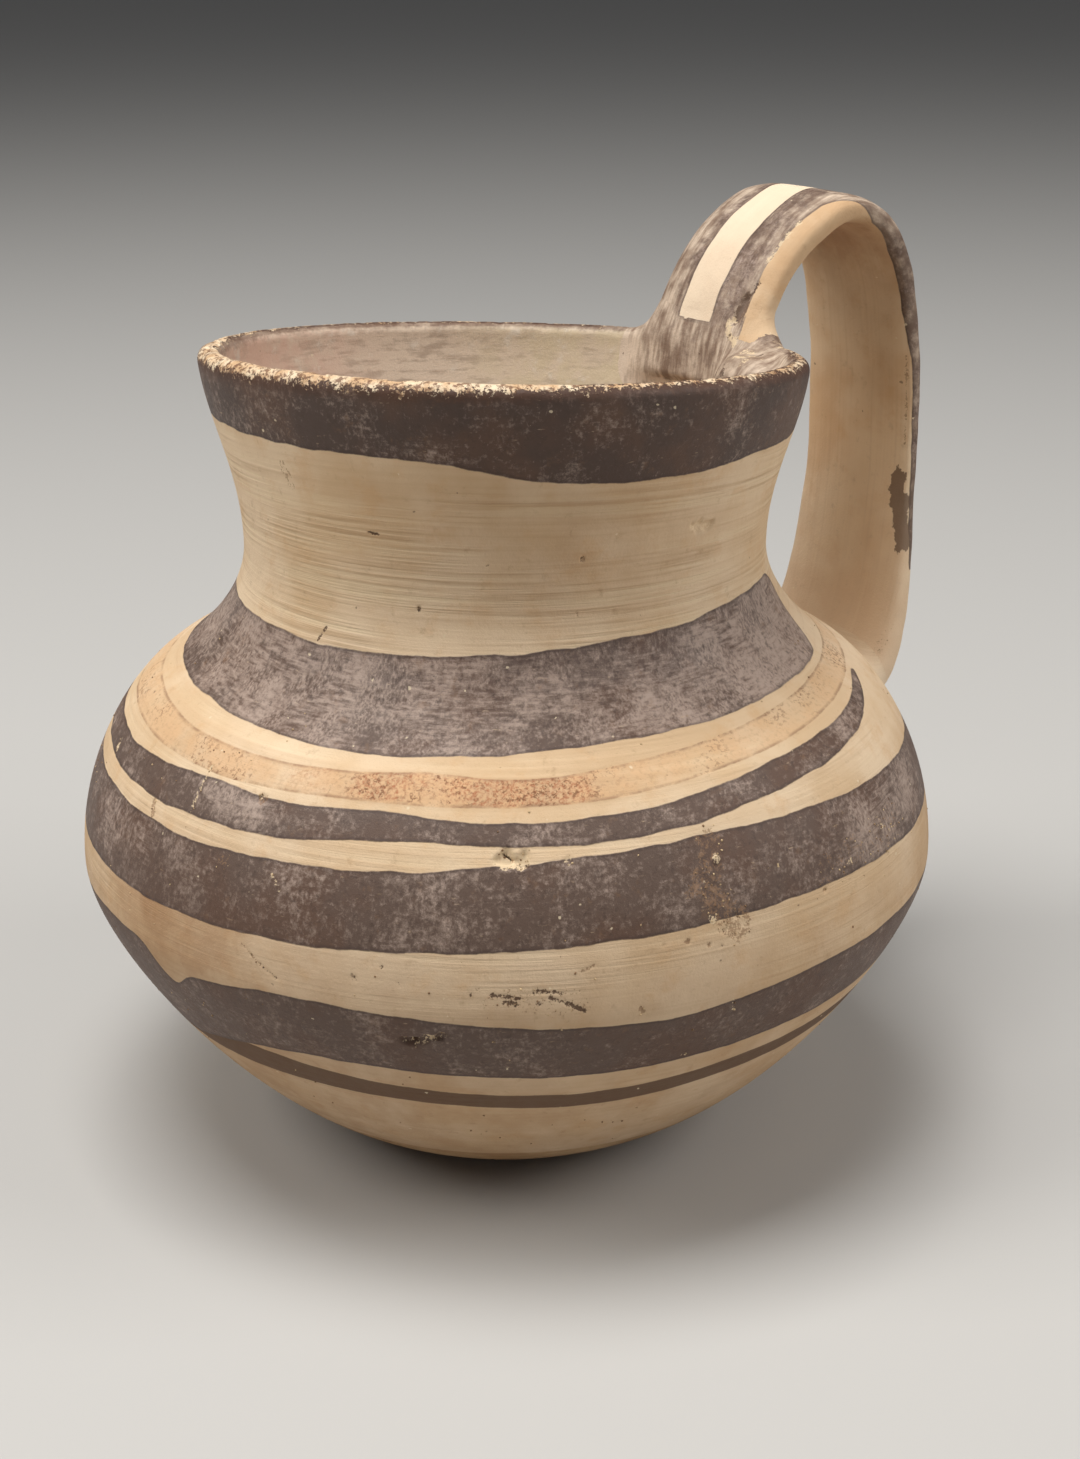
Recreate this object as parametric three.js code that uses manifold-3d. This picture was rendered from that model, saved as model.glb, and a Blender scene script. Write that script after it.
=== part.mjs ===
// High-handled painted jug, hand built in clay
//
// Millimetres, +Z up. The origin is the centre of the flat resting face. The strap
// handle stands on the +X side. The wall is one turned shell, parted at the flat seams
// where the courses of clay were joined, and it leans a little towards the mouth, seams
// and all. The handle is a flat strap that laps inside the mouth, arches over the rim
// and lands on the belly. A web of soft clay beds each of its two roots, and a pad fills
// the corner between the upper root's near edge and the wall.

import * as THREE from "three";
import { mergeVertices } from "three/addons/utils/BufferGeometryUtils.js";
import Module from "manifold-3d";

// Driving sizes of the outer wall, from the foot to the lip
const footRadius = 28;
const footPull = 25.5;
const footRise = 2.3;
const bellyRadius = 82.5;
const bellyHeight = 56.5;
const bellyPullDown = 11;
const bellyPullUp = 17;
const shoulderRadius = 65.7;
const shoulderHeight = 91.5;
const shoulderSlope = 28;
const shoulderPullDown = 7.5;
const shoulderPullUp = 8;
const waistRadius = 49.2;
const waistHeight = 115;
const waistPullDown = 9.8;
const waistPullUp = 14;
const lipRadius = 55.8;
const rimHeight = 150;
const lipFlare = 6;
const lipPull = 10.5;

// Thickness of the clay
const floorThickness = 8;
const bellyWall = 6;
const waistWall = 5;
const lipWall = 4.5;
// A new thickness is reached within this share of a stretch
const wallBlendShare = 0.5;

// The mouth leans: how far the rim rises along +X and +Y at the lip's radius
const leanAlongX = -4.05;
const leanAlongY = -3.1;
const leanStart = 7.5;

// Seams between the courses of clay, before the mouth leans: the dish up from the foot,
// the next two up from the belly's and the shoulder's height, the lip down from the rim
const dishCourse = 13;
const bellySeamRise = 0.5;
const collarSeamRise = 10.5;
const lipCourse = 18;

// The strap handle: its centre line in the X-Z plane, from the mouth to the belly, each
// point as (out, up). The two roots are measured out from the wall's face, and up from
// the lip's edge or the belly. The mouth leg is measured from the lip's edge below the
// handle. The outer leg stands out from the belly's edge: its top is measured up from
// the lip, its foot up from the belly, and its middle is a share of the way between.
const mouthRoot = [
  [-5.36, -7.0],
];
const mouthLeg = [
  [-5.3, -0.1],
  [-2.8, 7.1],
  [2.8, 15.3],
  [9.8, 21.1],
  [18.8, 24.5],
];
const outerLegTop = [
  [1.5, 21.5],
  [8.4, 11.5],
  [11.7, -4.0],
];
const outerLegMiddle = [
  [13.1, 0.63],
  [12.7, 0.28],
];
const outerLegFoot = [
  [11.4, 36.5],
  [9.1, 25.5],
];
const bellyRoot = [
  [7.9, 16.8],
  [-3.4, 10.2],
];
const strapWidth = 30;
const strapThickness = 6.3;
const mouthRootWidth = 31.5;
const bellyRootWidth = 37;
const bellyRootThickness = 9.5;
const mouthRootLength = 20;
const bellyRootLength = 57;
const edgeSquareness = 3.2;

// The webs of luting clay round the two roots: how far each stands past the strap's
// edges, its loop side and its back, and how far it runs along the strap
const mouthWebEdge = 1.6;
const mouthWebLoop = 2.8;
const mouthWebBack = 1.3;
const mouthWebStart = 2;
const mouthWebLength = 13;
const bellyWebEdge = 5;
const bellyWebLoop = 6;
const bellyWebBack = 0.9;
const bellyWebLength = 28;
const webFeather = 0.8;

// A pad of the same clay fills the corner between the strap's near edge and the wall of
// the mouth: its turn from the handle in degrees, its three half sizes, and how far its
// centre lies in from the wall's outer face and down from the rim
const mouthPadTurn = -25;
const mouthPadOut = 6;
const mouthPadAcross = 11.5;
const mouthPadUp = 8;
const mouthPadInset = 6.6;
const mouthPadDrop = 8.8;

// Clearance between pieces that meet on a curved face
const jointGap = 0.3;

// How finely the shapes are divided
const turnSteps = 56;
const wallSearchSteps = 200;
const stretchSteps = [7, 5, 5, 5];
const lipArcSteps = 5;
const strapSteps = 36;
const sectionSteps = 16;
const mouthWebSteps = 8;
const bellyWebSteps = 10;
const padSteps = 20;
const weldDistance = 1e-5;
const degree = Math.PI / 180;

// Finishes
const slipClay = { color: 0xd9bd8c, roughness: 0.8, metalness: 0 };
const darkPaint = { color: 0x5a4a46, roughness: 0.75, metalness: 0 };
const paleClay = { color: 0xcfae80, roughness: 0.85, metalness: 0 };

const manifold = await Module();
manifold.setup();

// Solids for cutting

function solidFrom(geometry) {
  const bare = geometry.clone();
  bare.deleteAttribute("normal");
  bare.deleteAttribute("uv");
  const merged = mergeVertices(bare, weldDistance);
  const mesh = new manifold.Mesh({
    numProp: 3,
    vertProperties: new Float32Array(merged.attributes.position.array),
    triVerts: new Uint32Array(merged.index.array),
  });
  return new manifold.Manifold(mesh);
}

function geometryFrom(solid) {
  const mesh = solid.getMesh();
  const geometry = new THREE.BufferGeometry();
  geometry.setAttribute("position", new THREE.BufferAttribute(mesh.vertProperties, 3));
  geometry.setIndex(new THREE.BufferAttribute(mesh.triVerts, 1));
  geometry.computeVertexNormals();
  return geometry;
}

// The wall's outline, as (radius, height)

function polar(length, angle) {
  return new THREE.Vector2(length * Math.cos(angle * degree), length * Math.sin(angle * degree));
}

const footEdge = new THREE.Vector2(footRadius, 0);
const bellyPoint = new THREE.Vector2(bellyRadius, bellyHeight);
const shoulderPoint = new THREE.Vector2(shoulderRadius, shoulderHeight);
const waistPoint = new THREE.Vector2(waistRadius, waistHeight);
const lipCentreHeight = rimHeight - lipWall / 2;
const lipPoint = new THREE.Vector2(lipRadius, lipCentreHeight);
const upwards = (length) => new THREE.Vector2(0, length);
const shoulderDirection = 180 - shoulderSlope;
const lipDirection = 90 - lipFlare;

const outerStretches = [
  new THREE.CubicBezierCurve(
    footEdge,
    footEdge.clone().add(polar(footPull, footRise)),
    bellyPoint.clone().sub(upwards(bellyPullDown)),
    bellyPoint,
  ),
  new THREE.CubicBezierCurve(
    bellyPoint,
    bellyPoint.clone().add(upwards(bellyPullUp)),
    shoulderPoint.clone().sub(polar(shoulderPullDown, shoulderDirection)),
    shoulderPoint,
  ),
  new THREE.CubicBezierCurve(
    shoulderPoint,
    shoulderPoint.clone().add(polar(shoulderPullUp, shoulderDirection)),
    waistPoint.clone().sub(upwards(waistPullDown)),
    waistPoint,
  ),
  new THREE.CubicBezierCurve(
    waistPoint,
    waistPoint.clone().add(upwards(waistPullUp)),
    lipPoint.clone().sub(polar(lipPull, lipDirection)),
    lipPoint,
  ),
];

// Thickness at each end of the four stretches, from the foot to the lip
const wallEnds = [
  [floorThickness, bellyWall],
  [bellyWall, bellyWall],
  [bellyWall, waistWall],
  [waistWall, lipWall],
];

function wallFaces(grow) {
  const outer = [];
  const inner = [];
  outerStretches.forEach((stretch, index) => {
    const steps = stretchSteps[index];
    const [startWall, endWall] = wallEnds[index];
    const first = index === 0 ? 0 : 1;
    for (let step = first; step <= steps; step += 1) {
      const share = step / steps;
      const point = stretch.getPoint(share);
      const along = stretch.getTangent(share);
      const out = new THREE.Vector2(along.y, -along.x);
      const wall = THREE.MathUtils.lerp(startWall, endWall, Math.min(1, share / wallBlendShare));
      outer.push(point.clone().addScaledVector(out, grow));
      inner.push(point.clone().addScaledVector(out, -wall - grow));
    }
  });
  // The flat foot and the level floor run in to the axis
  outer[0].set(footRadius, -grow);
  inner[0].set(inner[0].x, floorThickness + grow);
  const lip = [];
  const lipCentre = lipPoint.clone().sub(polar(lipWall / 2, -lipFlare));
  for (let step = 1; step < lipArcSteps; step += 1) {
    const turn = (180 * step) / lipArcSteps - lipFlare;
    lip.push(lipCentre.clone().add(polar(lipWall / 2 + grow, turn)));
  }
  return { outer, lip, inner: inner.reverse() };
}

const onAxis = (height) => new THREE.Vector2(0, height);

function hollowProfile(grow) {
  const { outer, lip, inner } = wallFaces(grow);
  return [onAxis(-grow), ...outer, ...lip, ...inner, onAxis(floorThickness + grow)];
}

function filledProfile(grow) {
  const { outer } = wallFaces(grow);
  return [onAxis(-grow), ...outer, onAxis(outer.at(-1).y)];
}

function lean(point) {
  const share = THREE.MathUtils.smoothstep(point.z, shoulderHeight + leanStart, rimHeight);
  const rise = (leanAlongX * point.x + leanAlongY * point.y) / lipRadius;
  point.z += share * rise;
  return point;
}

function turned(profile) {
  return new THREE.LatheGeometry(profile, turnSteps).rotateX(Math.PI / 2);
}

function leaned(geometry) {
  const position = geometry.attributes.position;
  const point = new THREE.Vector3();
  for (let index = 0; index < position.count; index += 1) {
    lean(point.fromBufferAttribute(position, index));
    position.setXYZ(index, point.x, point.y, point.z);
  }
  geometry.computeVertexNormals();
  return geometry;
}

const uprightWall = solidFrom(turned(hollowProfile(0)));

// A level slab that is wider than the jug
const slabMargin = 20;
const slabWidth = 2 * (bellyRadius + slabMargin);

function slab(low, high) {
  const box = new THREE.BoxGeometry(slabWidth, slabWidth, high - low);
  box.translate(0, 0, (low + high) / 2);
  return solidFrom(box);
}

function course(low, high) {
  return leaned(geometryFrom(uprightWall.intersect(slab(low, high))));
}

const bellySeam = bellyHeight + bellySeamRise;
const collarSeam = shoulderHeight + collarSeamRise;
const lipSeam = rimHeight - lipCourse;

// Room for the wall: with its gap, and filled inside below the collar
const filledForm = solidFrom(leaned(turned(filledProfile(jointGap))));
const filledBelly = filledForm.intersect(slab(-slabMargin, collarSeam));
const wallRoom = solidFrom(leaned(turned(hollowProfile(jointGap)))).add(filledBelly);

// The strap and the webs are lofted along the same route

// The outer face's radius at a height on one stretch, before the mouth leans
function wallRadiusAt(stretch, height) {
  const points = stretch.getPoints(wallSearchSteps);
  const above = points.findIndex((point) => point.y >= height);
  const upper = points[above];
  const lower = points[above - 1];
  const share = (height - lower.y) / (upper.y - lower.y);
  return THREE.MathUtils.lerp(lower.x, upper.x, share);
}

const [, bellyStretch, , neckStretch] = outerStretches;
const lipEdgeHeight = rimHeight + leanAlongX;
const legTopHeight = lipEdgeHeight + outerLegTop.at(-1)[1];
const legFootHeight = bellyHeight + outerLegFoot[0][1];
const strapRoute = [
  ...mouthRoot.map(([out, up]) => [
    wallRadiusAt(neckStretch, rimHeight + up) + out,
    lipEdgeHeight + up,
  ]),
  ...mouthLeg.map(([out, up]) => [lipRadius + out, lipEdgeHeight + up]),
  ...outerLegTop.map(([out, up]) => [bellyRadius + out, lipEdgeHeight + up]),
  ...outerLegMiddle.map(([out, share]) => [
    bellyRadius + out,
    THREE.MathUtils.lerp(legFootHeight, legTopHeight, share),
  ]),
  ...outerLegFoot.map(([out, up]) => [bellyRadius + out, bellyHeight + up]),
  ...bellyRoot.map(([out, up]) => [
    wallRadiusAt(bellyStretch, bellyHeight + up) + out,
    bellyHeight + up,
  ]),
];
const strapCurve = new THREE.CatmullRomCurve3(
  strapRoute.map(([x, z]) => new THREE.Vector3(x, 0, z)),
  false,
  "centripetal",
);
const strapLength = strapCurve.getLength();

function strapSize(share) {
  const along = share * strapLength;
  const mouth = 1 - THREE.MathUtils.smoothstep(along, 0, mouthRootLength);
  const belly = THREE.MathUtils.smoothstep(along, strapLength - bellyRootLength, strapLength);
  const width = strapWidth
    + mouth * (mouthRootWidth - strapWidth)
    + belly * (bellyRootWidth - strapWidth);
  const thickness = strapThickness + belly * (bellyRootThickness - strapThickness);
  return { width, thickness, shift: 0 };
}

function sectionPoint(width, thickness, turn) {
  const squared = (value) => Math.sign(value) * Math.abs(value) ** (2 / edgeSquareness);
  return new THREE.Vector2(
    (width / 2) * squared(Math.cos(turn)),
    (thickness / 2) * squared(Math.sin(turn)),
  );
}

function loft(from, to, steps, sizeAt) {
  const positions = [];
  const indices = [];
  const across = new THREE.Vector3(0, 1, 0);
  for (let step = 0; step <= steps; step += 1) {
    const share = THREE.MathUtils.lerp(from, to, step / steps);
    const inward = new THREE.Vector3().crossVectors(across, strapCurve.getTangentAt(share));
    const { width, thickness, shift } = sizeAt(share);
    const centre = strapCurve.getPointAt(share).addScaledVector(inward, shift);
    for (let side = 0; side < sectionSteps; side += 1) {
      const place = sectionPoint(width, thickness, (2 * Math.PI * side) / sectionSteps);
      const corner = centre.clone().addScaledVector(across, place.x);
      corner.addScaledVector(inward, place.y);
      positions.push(corner.x, corner.y, corner.z);
    }
  }
  for (let step = 0; step < steps; step += 1) {
    for (let side = 0; side < sectionSteps; side += 1) {
      const next = (side + 1) % sectionSteps;
      const a = step * sectionSteps + side;
      const b = step * sectionSteps + next;
      indices.push(a, a + sectionSteps, b);
      indices.push(b, a + sectionSteps, b + sectionSteps);
    }
  }
  const last = steps * sectionSteps;
  for (let side = 1; side < sectionSteps - 1; side += 1) {
    indices.push(0, side, side + 1);
    indices.push(last, last + side + 1, last + side);
  }
  const geometry = new THREE.BufferGeometry();
  geometry.setAttribute("position", new THREE.Float32BufferAttribute(positions, 3));
  geometry.setIndex(indices);
  return solidFrom(geometry);
}

function grown(size, edge, loop, back) {
  return {
    width: size.width + 2 * edge,
    thickness: size.thickness + loop + back,
    shift: size.shift + (loop - back) / 2,
  };
}

const strapBody = loft(0, 1, strapSteps, strapSize);
const strapWithGap = loft(0, 1, strapSteps, (share) =>
  grown(strapSize(share), jointGap, jointGap, jointGap));
const strap = strapBody.subtract(wallRoom);

// A web is a feather edge on the strap that swells to its full reach
function web(from, to, steps, reach, swellAt) {
  return loft(from, to, steps, (share) => {
    const swell = swellAt((share - from) / (to - from));
    const [edge, loop, back] = reach.map((full) => THREE.MathUtils.lerp(webFeather, full, swell));
    return grown(strapSize(share), edge, loop, back);
  });
}

function mouthPad() {
  const turn = mouthPadTurn * degree;
  const height = rimHeight - mouthPadDrop;
  const radius = wallRadiusAt(neckStretch, height) - mouthPadInset;
  const centre = new THREE.Vector3(radius * Math.cos(turn), radius * Math.sin(turn), height);
  const pad = new THREE.SphereGeometry(1, padSteps, padSteps / 2);
  pad.scale(mouthPadOut, mouthPadAcross, mouthPadUp).rotateZ(turn);
  const insideTheWall = solidFrom(leaned(turned(filledProfile(0))));
  return solidFrom(pad.translate(...lean(centre).toArray())).intersect(insideTheWall);
}

function cleared(clay) {
  return clay.subtract(wallRoom).subtract(strapWithGap);
}

const mouthWeb = web(
  mouthWebStart / strapLength,
  (mouthWebStart + mouthWebLength) / strapLength,
  mouthWebSteps,
  [mouthWebEdge, mouthWebLoop, mouthWebBack],
  (share) => Math.sin(Math.PI * Math.sqrt(share)),
);
const mouthLuting = cleared(mouthWeb.add(mouthPad()));

const bellyWeb = web(
  1 - bellyWebLength / strapLength,
  1,
  bellyWebSteps,
  [bellyWebEdge, bellyWebLoop, bellyWebBack],
  (share) => share ** 2,
);
const bellyLuting = cleared(bellyWeb);

// The finished jug

const jug = new THREE.Group();

function place(name, geometry, finish) {
  const mesh = new THREE.Mesh(geometry, new THREE.MeshStandardMaterial(finish));
  mesh.name = name;
  jug.add(mesh);
}

place("base_dish", course(0, dishCourse), paleClay);
place("lower_wall", course(dishCourse, bellySeam), slipClay);
place("shoulder_wall", course(bellySeam, collarSeam), slipClay);
place("neck_collar", course(collarSeam, lipSeam), slipClay);
place("flared_lip", course(lipSeam, rimHeight + slabMargin), darkPaint);
place("strap_handle", geometryFrom(strap), darkPaint);
place("mouth_luting", geometryFrom(mouthLuting), darkPaint);
place("belly_luting", geometryFrom(bellyLuting), slipClay);

export default jug;
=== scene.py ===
# %% [markdown]
# # A painted clay jug, dressed round its measured frame
#
# The frame holds the jug's eight pieces at their real size. This lesson gives each of
# them a fine surface: the turned wall with its hand-painted bands, the strap handle,
# the soft clay that beds the strap, and the wear and dirt of a very old pot. Every
# length in this file is in millimetres until a mesh is written, because a potter
# thinks in millimetres and Blender in metres.

import math
from collections import namedtuple

import bmesh
import bpy
import numpy as np
from mathutils import Matrix, Vector, noise
from mathutils.kdtree import KDTree


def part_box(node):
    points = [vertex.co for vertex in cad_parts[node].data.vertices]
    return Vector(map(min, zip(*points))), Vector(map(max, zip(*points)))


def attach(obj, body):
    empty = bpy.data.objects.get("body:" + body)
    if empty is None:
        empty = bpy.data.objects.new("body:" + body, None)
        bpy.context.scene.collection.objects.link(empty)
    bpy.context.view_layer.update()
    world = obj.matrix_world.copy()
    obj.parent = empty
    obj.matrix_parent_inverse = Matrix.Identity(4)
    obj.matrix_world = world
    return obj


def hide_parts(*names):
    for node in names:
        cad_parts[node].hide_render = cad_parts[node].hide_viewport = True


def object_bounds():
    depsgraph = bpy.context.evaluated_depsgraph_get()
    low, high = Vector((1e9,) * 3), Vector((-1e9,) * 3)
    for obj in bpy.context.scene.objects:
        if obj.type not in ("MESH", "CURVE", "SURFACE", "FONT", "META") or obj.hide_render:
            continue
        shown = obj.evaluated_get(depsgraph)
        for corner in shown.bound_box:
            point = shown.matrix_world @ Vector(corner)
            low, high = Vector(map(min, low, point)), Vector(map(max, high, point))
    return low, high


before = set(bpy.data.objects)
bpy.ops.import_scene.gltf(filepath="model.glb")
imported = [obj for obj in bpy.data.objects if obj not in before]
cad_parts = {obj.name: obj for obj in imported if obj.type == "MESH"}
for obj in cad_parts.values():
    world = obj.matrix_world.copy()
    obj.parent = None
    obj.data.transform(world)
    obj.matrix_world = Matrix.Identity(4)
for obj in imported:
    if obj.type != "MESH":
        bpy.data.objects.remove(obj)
cad_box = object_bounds()
MM = 0.001
print("frame nodes:", sorted(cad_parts))

# %% [markdown]
# ## Camera
#
# A camera could be placed by eye, but this one was worked out: its place, its turn and
# its focal length are the values that put the rim, the painted bands and the outline of
# the measured jug where a photograph shows them. Turning is written in the order in
# which a person would do it: face a heading, tip down, then roll a little.

# %% Camera
image_width_px = 1080
focal_length_px = 2190.1
sensor_width_mm = 36
camera_place = Vector((-241.3, -320.2, 227.7))
camera_heading = math.radians(-37.92)
camera_pitch = math.radians(20.80)
camera_roll = math.radians(-0.134)

camera = bpy.data.objects.new("camera", bpy.data.cameras.new("camera"))
bpy.context.scene.collection.objects.link(camera)
bpy.context.scene.camera = camera
camera.data.sensor_fit = "HORIZONTAL"
camera.data.sensor_width = sensor_width_mm
camera.data.lens = sensor_width_mm * focal_length_px / image_width_px
camera.matrix_world = (
    Matrix.Translation(camera_place * MM)
    @ Matrix.Rotation(camera_heading, 4, "Z")
    @ Matrix.Rotation(math.pi / 2 - camera_pitch, 4, "X")
    @ Matrix.Rotation(camera_roll, 4, "Z")
)
print("lens in mm:", round(camera.data.lens, 2))

# %% [markdown]
# ## Helpers for nodes
#
# Trees of nodes are long to write out. Small helpers keep each node on one line or a
# few: `put` makes a node, sets its options and fills its inputs, `math_node` works on
# numbers, `times` and `plus` on any count of them, and `vector_node` on directions. An
# input takes a plain value or another node's output, which is then linked.

# %% Helpers for nodes
def fill(tree, socket, value):
    if isinstance(value, bpy.types.NodeSocket):
        tree.links.new(value, socket)
    else:
        socket.default_value = value


def put(tree, kind, inputs=None, **settings):
    node = tree.nodes.new(kind)
    for name, value in settings.items():
        setattr(node, name, value)
    for name, value in (inputs or {}).items():
        fill(tree, node.inputs[name], value)
    return node


def math_node(tree, operation, *values, clamp=False):
    node = put(tree, "ShaderNodeMath", operation=operation, use_clamp=clamp)
    for socket, value in zip(node.inputs, values):
        fill(tree, socket, value)
    return node.outputs[0]


def times(tree, first, *others):
    for value in others:
        first = math_node(tree, "MULTIPLY", first, value)
    return first


def plus(tree, first, *others):
    for value in others:
        first = math_node(tree, "ADD", first, value)
    return first


def vector_node(tree, operation, *values):
    node = put(tree, "ShaderNodeVectorMath", operation=operation)
    for socket, value in zip(node.inputs, values):
        fill(tree, socket, value)
    scalar = operation in ("LENGTH", "DOT_PRODUCT", "DISTANCE")
    return node.outputs["Value" if scalar else "Vector"]


def ramp_up(tree, value, low, high):
    """0 below low and 1 above high, with a smooth step in between."""
    node = put(tree, "ShaderNodeMapRange", interpolation_type="SMOOTHSTEP")
    for socket, setting in zip(node.inputs, (value, low, high, 0.0, 1.0)):
        fill(tree, socket, setting)
    return node.outputs["Result"]


def linear_colour(red, green, blue):
    """A colour read from a picture, 0 to 255, as the linear colour that shaders use."""
    parts = [
        part / 255 / 12.92 if part / 255 <= 0.04045 else ((part / 255 + 0.055) / 1.055) ** 2.4
        for part in (red, green, blue)
    ]
    return (*parts, 1.0)


print("middle grey as the shaders see it:", round(linear_colour(128, 128, 128)[0], 3))

# %% [markdown]
# ## Floor and light
#
# The jug stands on a plain pale floor. Matt clay shows its form best under large soft
# lamps, so three soft boxes and a dim even sky light it: the strongest one overhead, which
# also lights the inside of the mouth, and one on each side, which round the neck and
# leave the middle a little darker.

# %% Floor and light
floor_width = 14000
floor_gap = 0.05
floor_colour = linear_colour(188, 186, 182)
floor_roughness = 0.7
lamp_distance = 1500
sky_colour, sky_strength = (0.86, 0.87, 0.9, 1), 0.12
jug_centre = (Vector(cad_box[0]) + Vector(cad_box[1])) / 2
camera_side = math.degrees(math.atan2(camera_place.y, camera_place.x))

floor_mesh = bpy.data.meshes.new("floor")
half = floor_width / 2
corners = [(-half, -half), (half, -half), (half, half), (-half, half)]
floor_mesh.from_pydata([(x * MM, y * MM, -floor_gap * MM) for x, y in corners], [], [(0, 1, 2, 3)])
floor = bpy.data.objects.new("floor", floor_mesh)
bpy.context.scene.collection.objects.link(floor)
floor_finish = bpy.data.materials.new("pale_floor")
floor_finish.use_nodes = True
floor_shader = floor_finish.node_tree.nodes["Principled BSDF"]
floor_shader.inputs["Base Color"].default_value = floor_colour
floor_shader.inputs["Roughness"].default_value = floor_roughness
floor_mesh.materials.append(floor_finish)


def soft_box(name, turn, rise, size, power, colour):
    """A square lamp: turn is to the right of the camera and rise above the floor, in degrees."""
    lamp = bpy.data.lights.new(name, "AREA")
    lamp.shape = "SQUARE"
    lamp.size = size * MM
    lamp.energy = power
    lamp.color = colour
    around = math.radians(camera_side + turn)
    up = math.radians(rise)
    direction = Vector(
        (math.cos(up) * math.cos(around), math.cos(up) * math.sin(around), math.sin(up))
    )
    box = bpy.data.objects.new(name, lamp)
    box.location = jug_centre + direction * lamp_distance * MM
    box.rotation_euler = direction.to_track_quat("Z", "Y").to_euler()
    bpy.context.scene.collection.objects.link(box)


soft_box("key_lamp", turn=-75, rise=42, size=700, power=10, colour=(1.0, 0.98, 0.95))
soft_box("fill_lamp", turn=78, rise=34, size=800, power=10, colour=(1.0, 0.98, 0.96))
soft_box("top_lamp", turn=-60, rise=80, size=800, power=21, colour=(1.0, 0.99, 0.98))

sky = bpy.data.worlds.new("studio")
sky.use_nodes = True
sky.node_tree.nodes["Background"].inputs["Color"].default_value = sky_colour
sky.node_tree.nodes["Background"].inputs["Strength"].default_value = sky_strength
bpy.context.scene.world = sky
bpy.context.scene.view_settings.view_transform = "Standard"

# %% [markdown]
# ## The wall's outline
#
# The wall is a form of revolution, so one outline says nearly all of its shape. It is
# four smooth curves, foot to belly, belly to shoulder, shoulder to waist and waist to
# lip, each with a named point and a named pull at its ends. The inner face lies one
# wall's thickness inside. Walking the outline from the centre of the foot, over the rim
# and down to the centre of the floor gives the distance `along`, which is what the
# painter's brush sees and what the paint is placed by.

# %% The wall's outline
low_corner, high_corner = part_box("lower_wall")
belly_radius = -low_corner.y / MM
dish_seam = low_corner.z / MM
belly_seam = high_corner.z / MM
foot_radius, foot_pull, foot_rise = 28, 25.5, 2.3
belly_height, belly_pull_down, belly_pull_up = 56.5, 11, 17
shoulder_radius, shoulder_height, shoulder_slope = 65.7, 91.5, 28
shoulder_pull_down, shoulder_pull_up = 7.5, 8
waist_radius, waist_height, waist_pull_down, waist_pull_up = 49.2, 115, 9.8, 14
lip_radius, rim_height, lip_flare, lip_pull = 55.8, 150, 6, 10.5
floor_thickness, belly_wall, waist_wall, lip_wall = 8, 6, 5, 4.5
wall_blend_share = 0.5
collar_rise, lip_drop = 10.5, 18
collar_seam = shoulder_height + collar_rise
lip_seam = rim_height - lip_drop
stretch_samples, arc_samples, arc_margin = 301, 60, 2
weld_distance = 1e-6


def polar(length, angle):
    return np.array((length * math.cos(math.radians(angle)), length * math.sin(math.radians(angle))))


foot_edge = np.array((foot_radius, 0.0))
belly_point = np.array((belly_radius, belly_height))
shoulder_point = np.array((shoulder_radius, shoulder_height))
waist_point = np.array((waist_radius, waist_height))
lip_point = np.array((lip_radius, rim_height - lip_wall / 2))
stretches = [
    (foot_edge, foot_edge + polar(foot_pull, foot_rise), belly_point - (0, belly_pull_down), belly_point),
    (
        belly_point,
        belly_point + (0, belly_pull_up),
        shoulder_point - polar(shoulder_pull_down, 180 - shoulder_slope),
        shoulder_point,
    ),
    (
        shoulder_point,
        shoulder_point + polar(shoulder_pull_up, 180 - shoulder_slope),
        waist_point - (0, waist_pull_down),
        waist_point,
    ),
    (
        waist_point,
        waist_point + (0, waist_pull_up),
        lip_point - polar(lip_pull, 90 - lip_flare),
        lip_point,
    ),
]
wall_ends = [
    (floor_thickness, belly_wall),
    (belly_wall, belly_wall),
    (belly_wall, waist_wall),
    (waist_wall, lip_wall),
]


def bezier(points, share):
    """Point and direction at each share of a curve with two ends and two pulls."""
    a, b, c, d = (np.asarray(point, float) for point in points)
    t = share[:, None]
    point = (1 - t) ** 3 * a + 3 * (1 - t) ** 2 * t * b + 3 * (1 - t) * t**2 * c + t**3 * d
    slope = (1 - t) ** 2 * (b - a) + 2 * (1 - t) * t * (c - b) + t**2 * (d - c)
    return point, slope / np.linalg.norm(slope, axis=1)[:, None]


outer_face, inner_face = [], []
for stretch, (start_wall, end_wall) in zip(stretches, wall_ends):
    share = np.linspace(0, 1, stretch_samples)
    point, slope = bezier(stretch, share)
    outward = np.stack((slope[:, 1], -slope[:, 0]), axis=1)
    wall = start_wall + (end_wall - start_wall) * np.minimum(1, share / wall_blend_share)
    outer_face.append(point)
    inner_face.append(point - outward * wall[:, None])
outer_face = np.concatenate(outer_face)
inner_face = np.concatenate(inner_face)
inner_face[0, 1] = floor_thickness
lip_centre = lip_point - polar(lip_wall / 2, -lip_flare)
lip_turns = np.linspace(arc_margin, 180 - arc_margin, arc_samples)
lip_arc = np.array([lip_centre + polar(lip_wall / 2, turn - lip_flare) for turn in lip_turns])
outline = np.concatenate(
    [[(0, 0)], outer_face, lip_arc, inner_face[::-1], [(0, floor_thickness)]]
)


def walked(points):
    """The distance walked along a line to each of its points."""
    return np.insert(np.cumsum(np.linalg.norm(np.diff(points, axis=0), axis=1)), 0, 0)


outline = outline[np.insert(np.diff(walked(outline)) > weld_distance, 0, True)]
outline_along = walked(outline)
crest = int(np.argmax(outline[:, 1]))
crest_along = outline_along[crest]
print("outline length in mm:", round(outline_along[-1], 1), "crest at", round(crest_along, 1))


def outer_along(height):
    return np.interp(height, outline[: crest + 1, 1], outline_along[: crest + 1])


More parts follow.
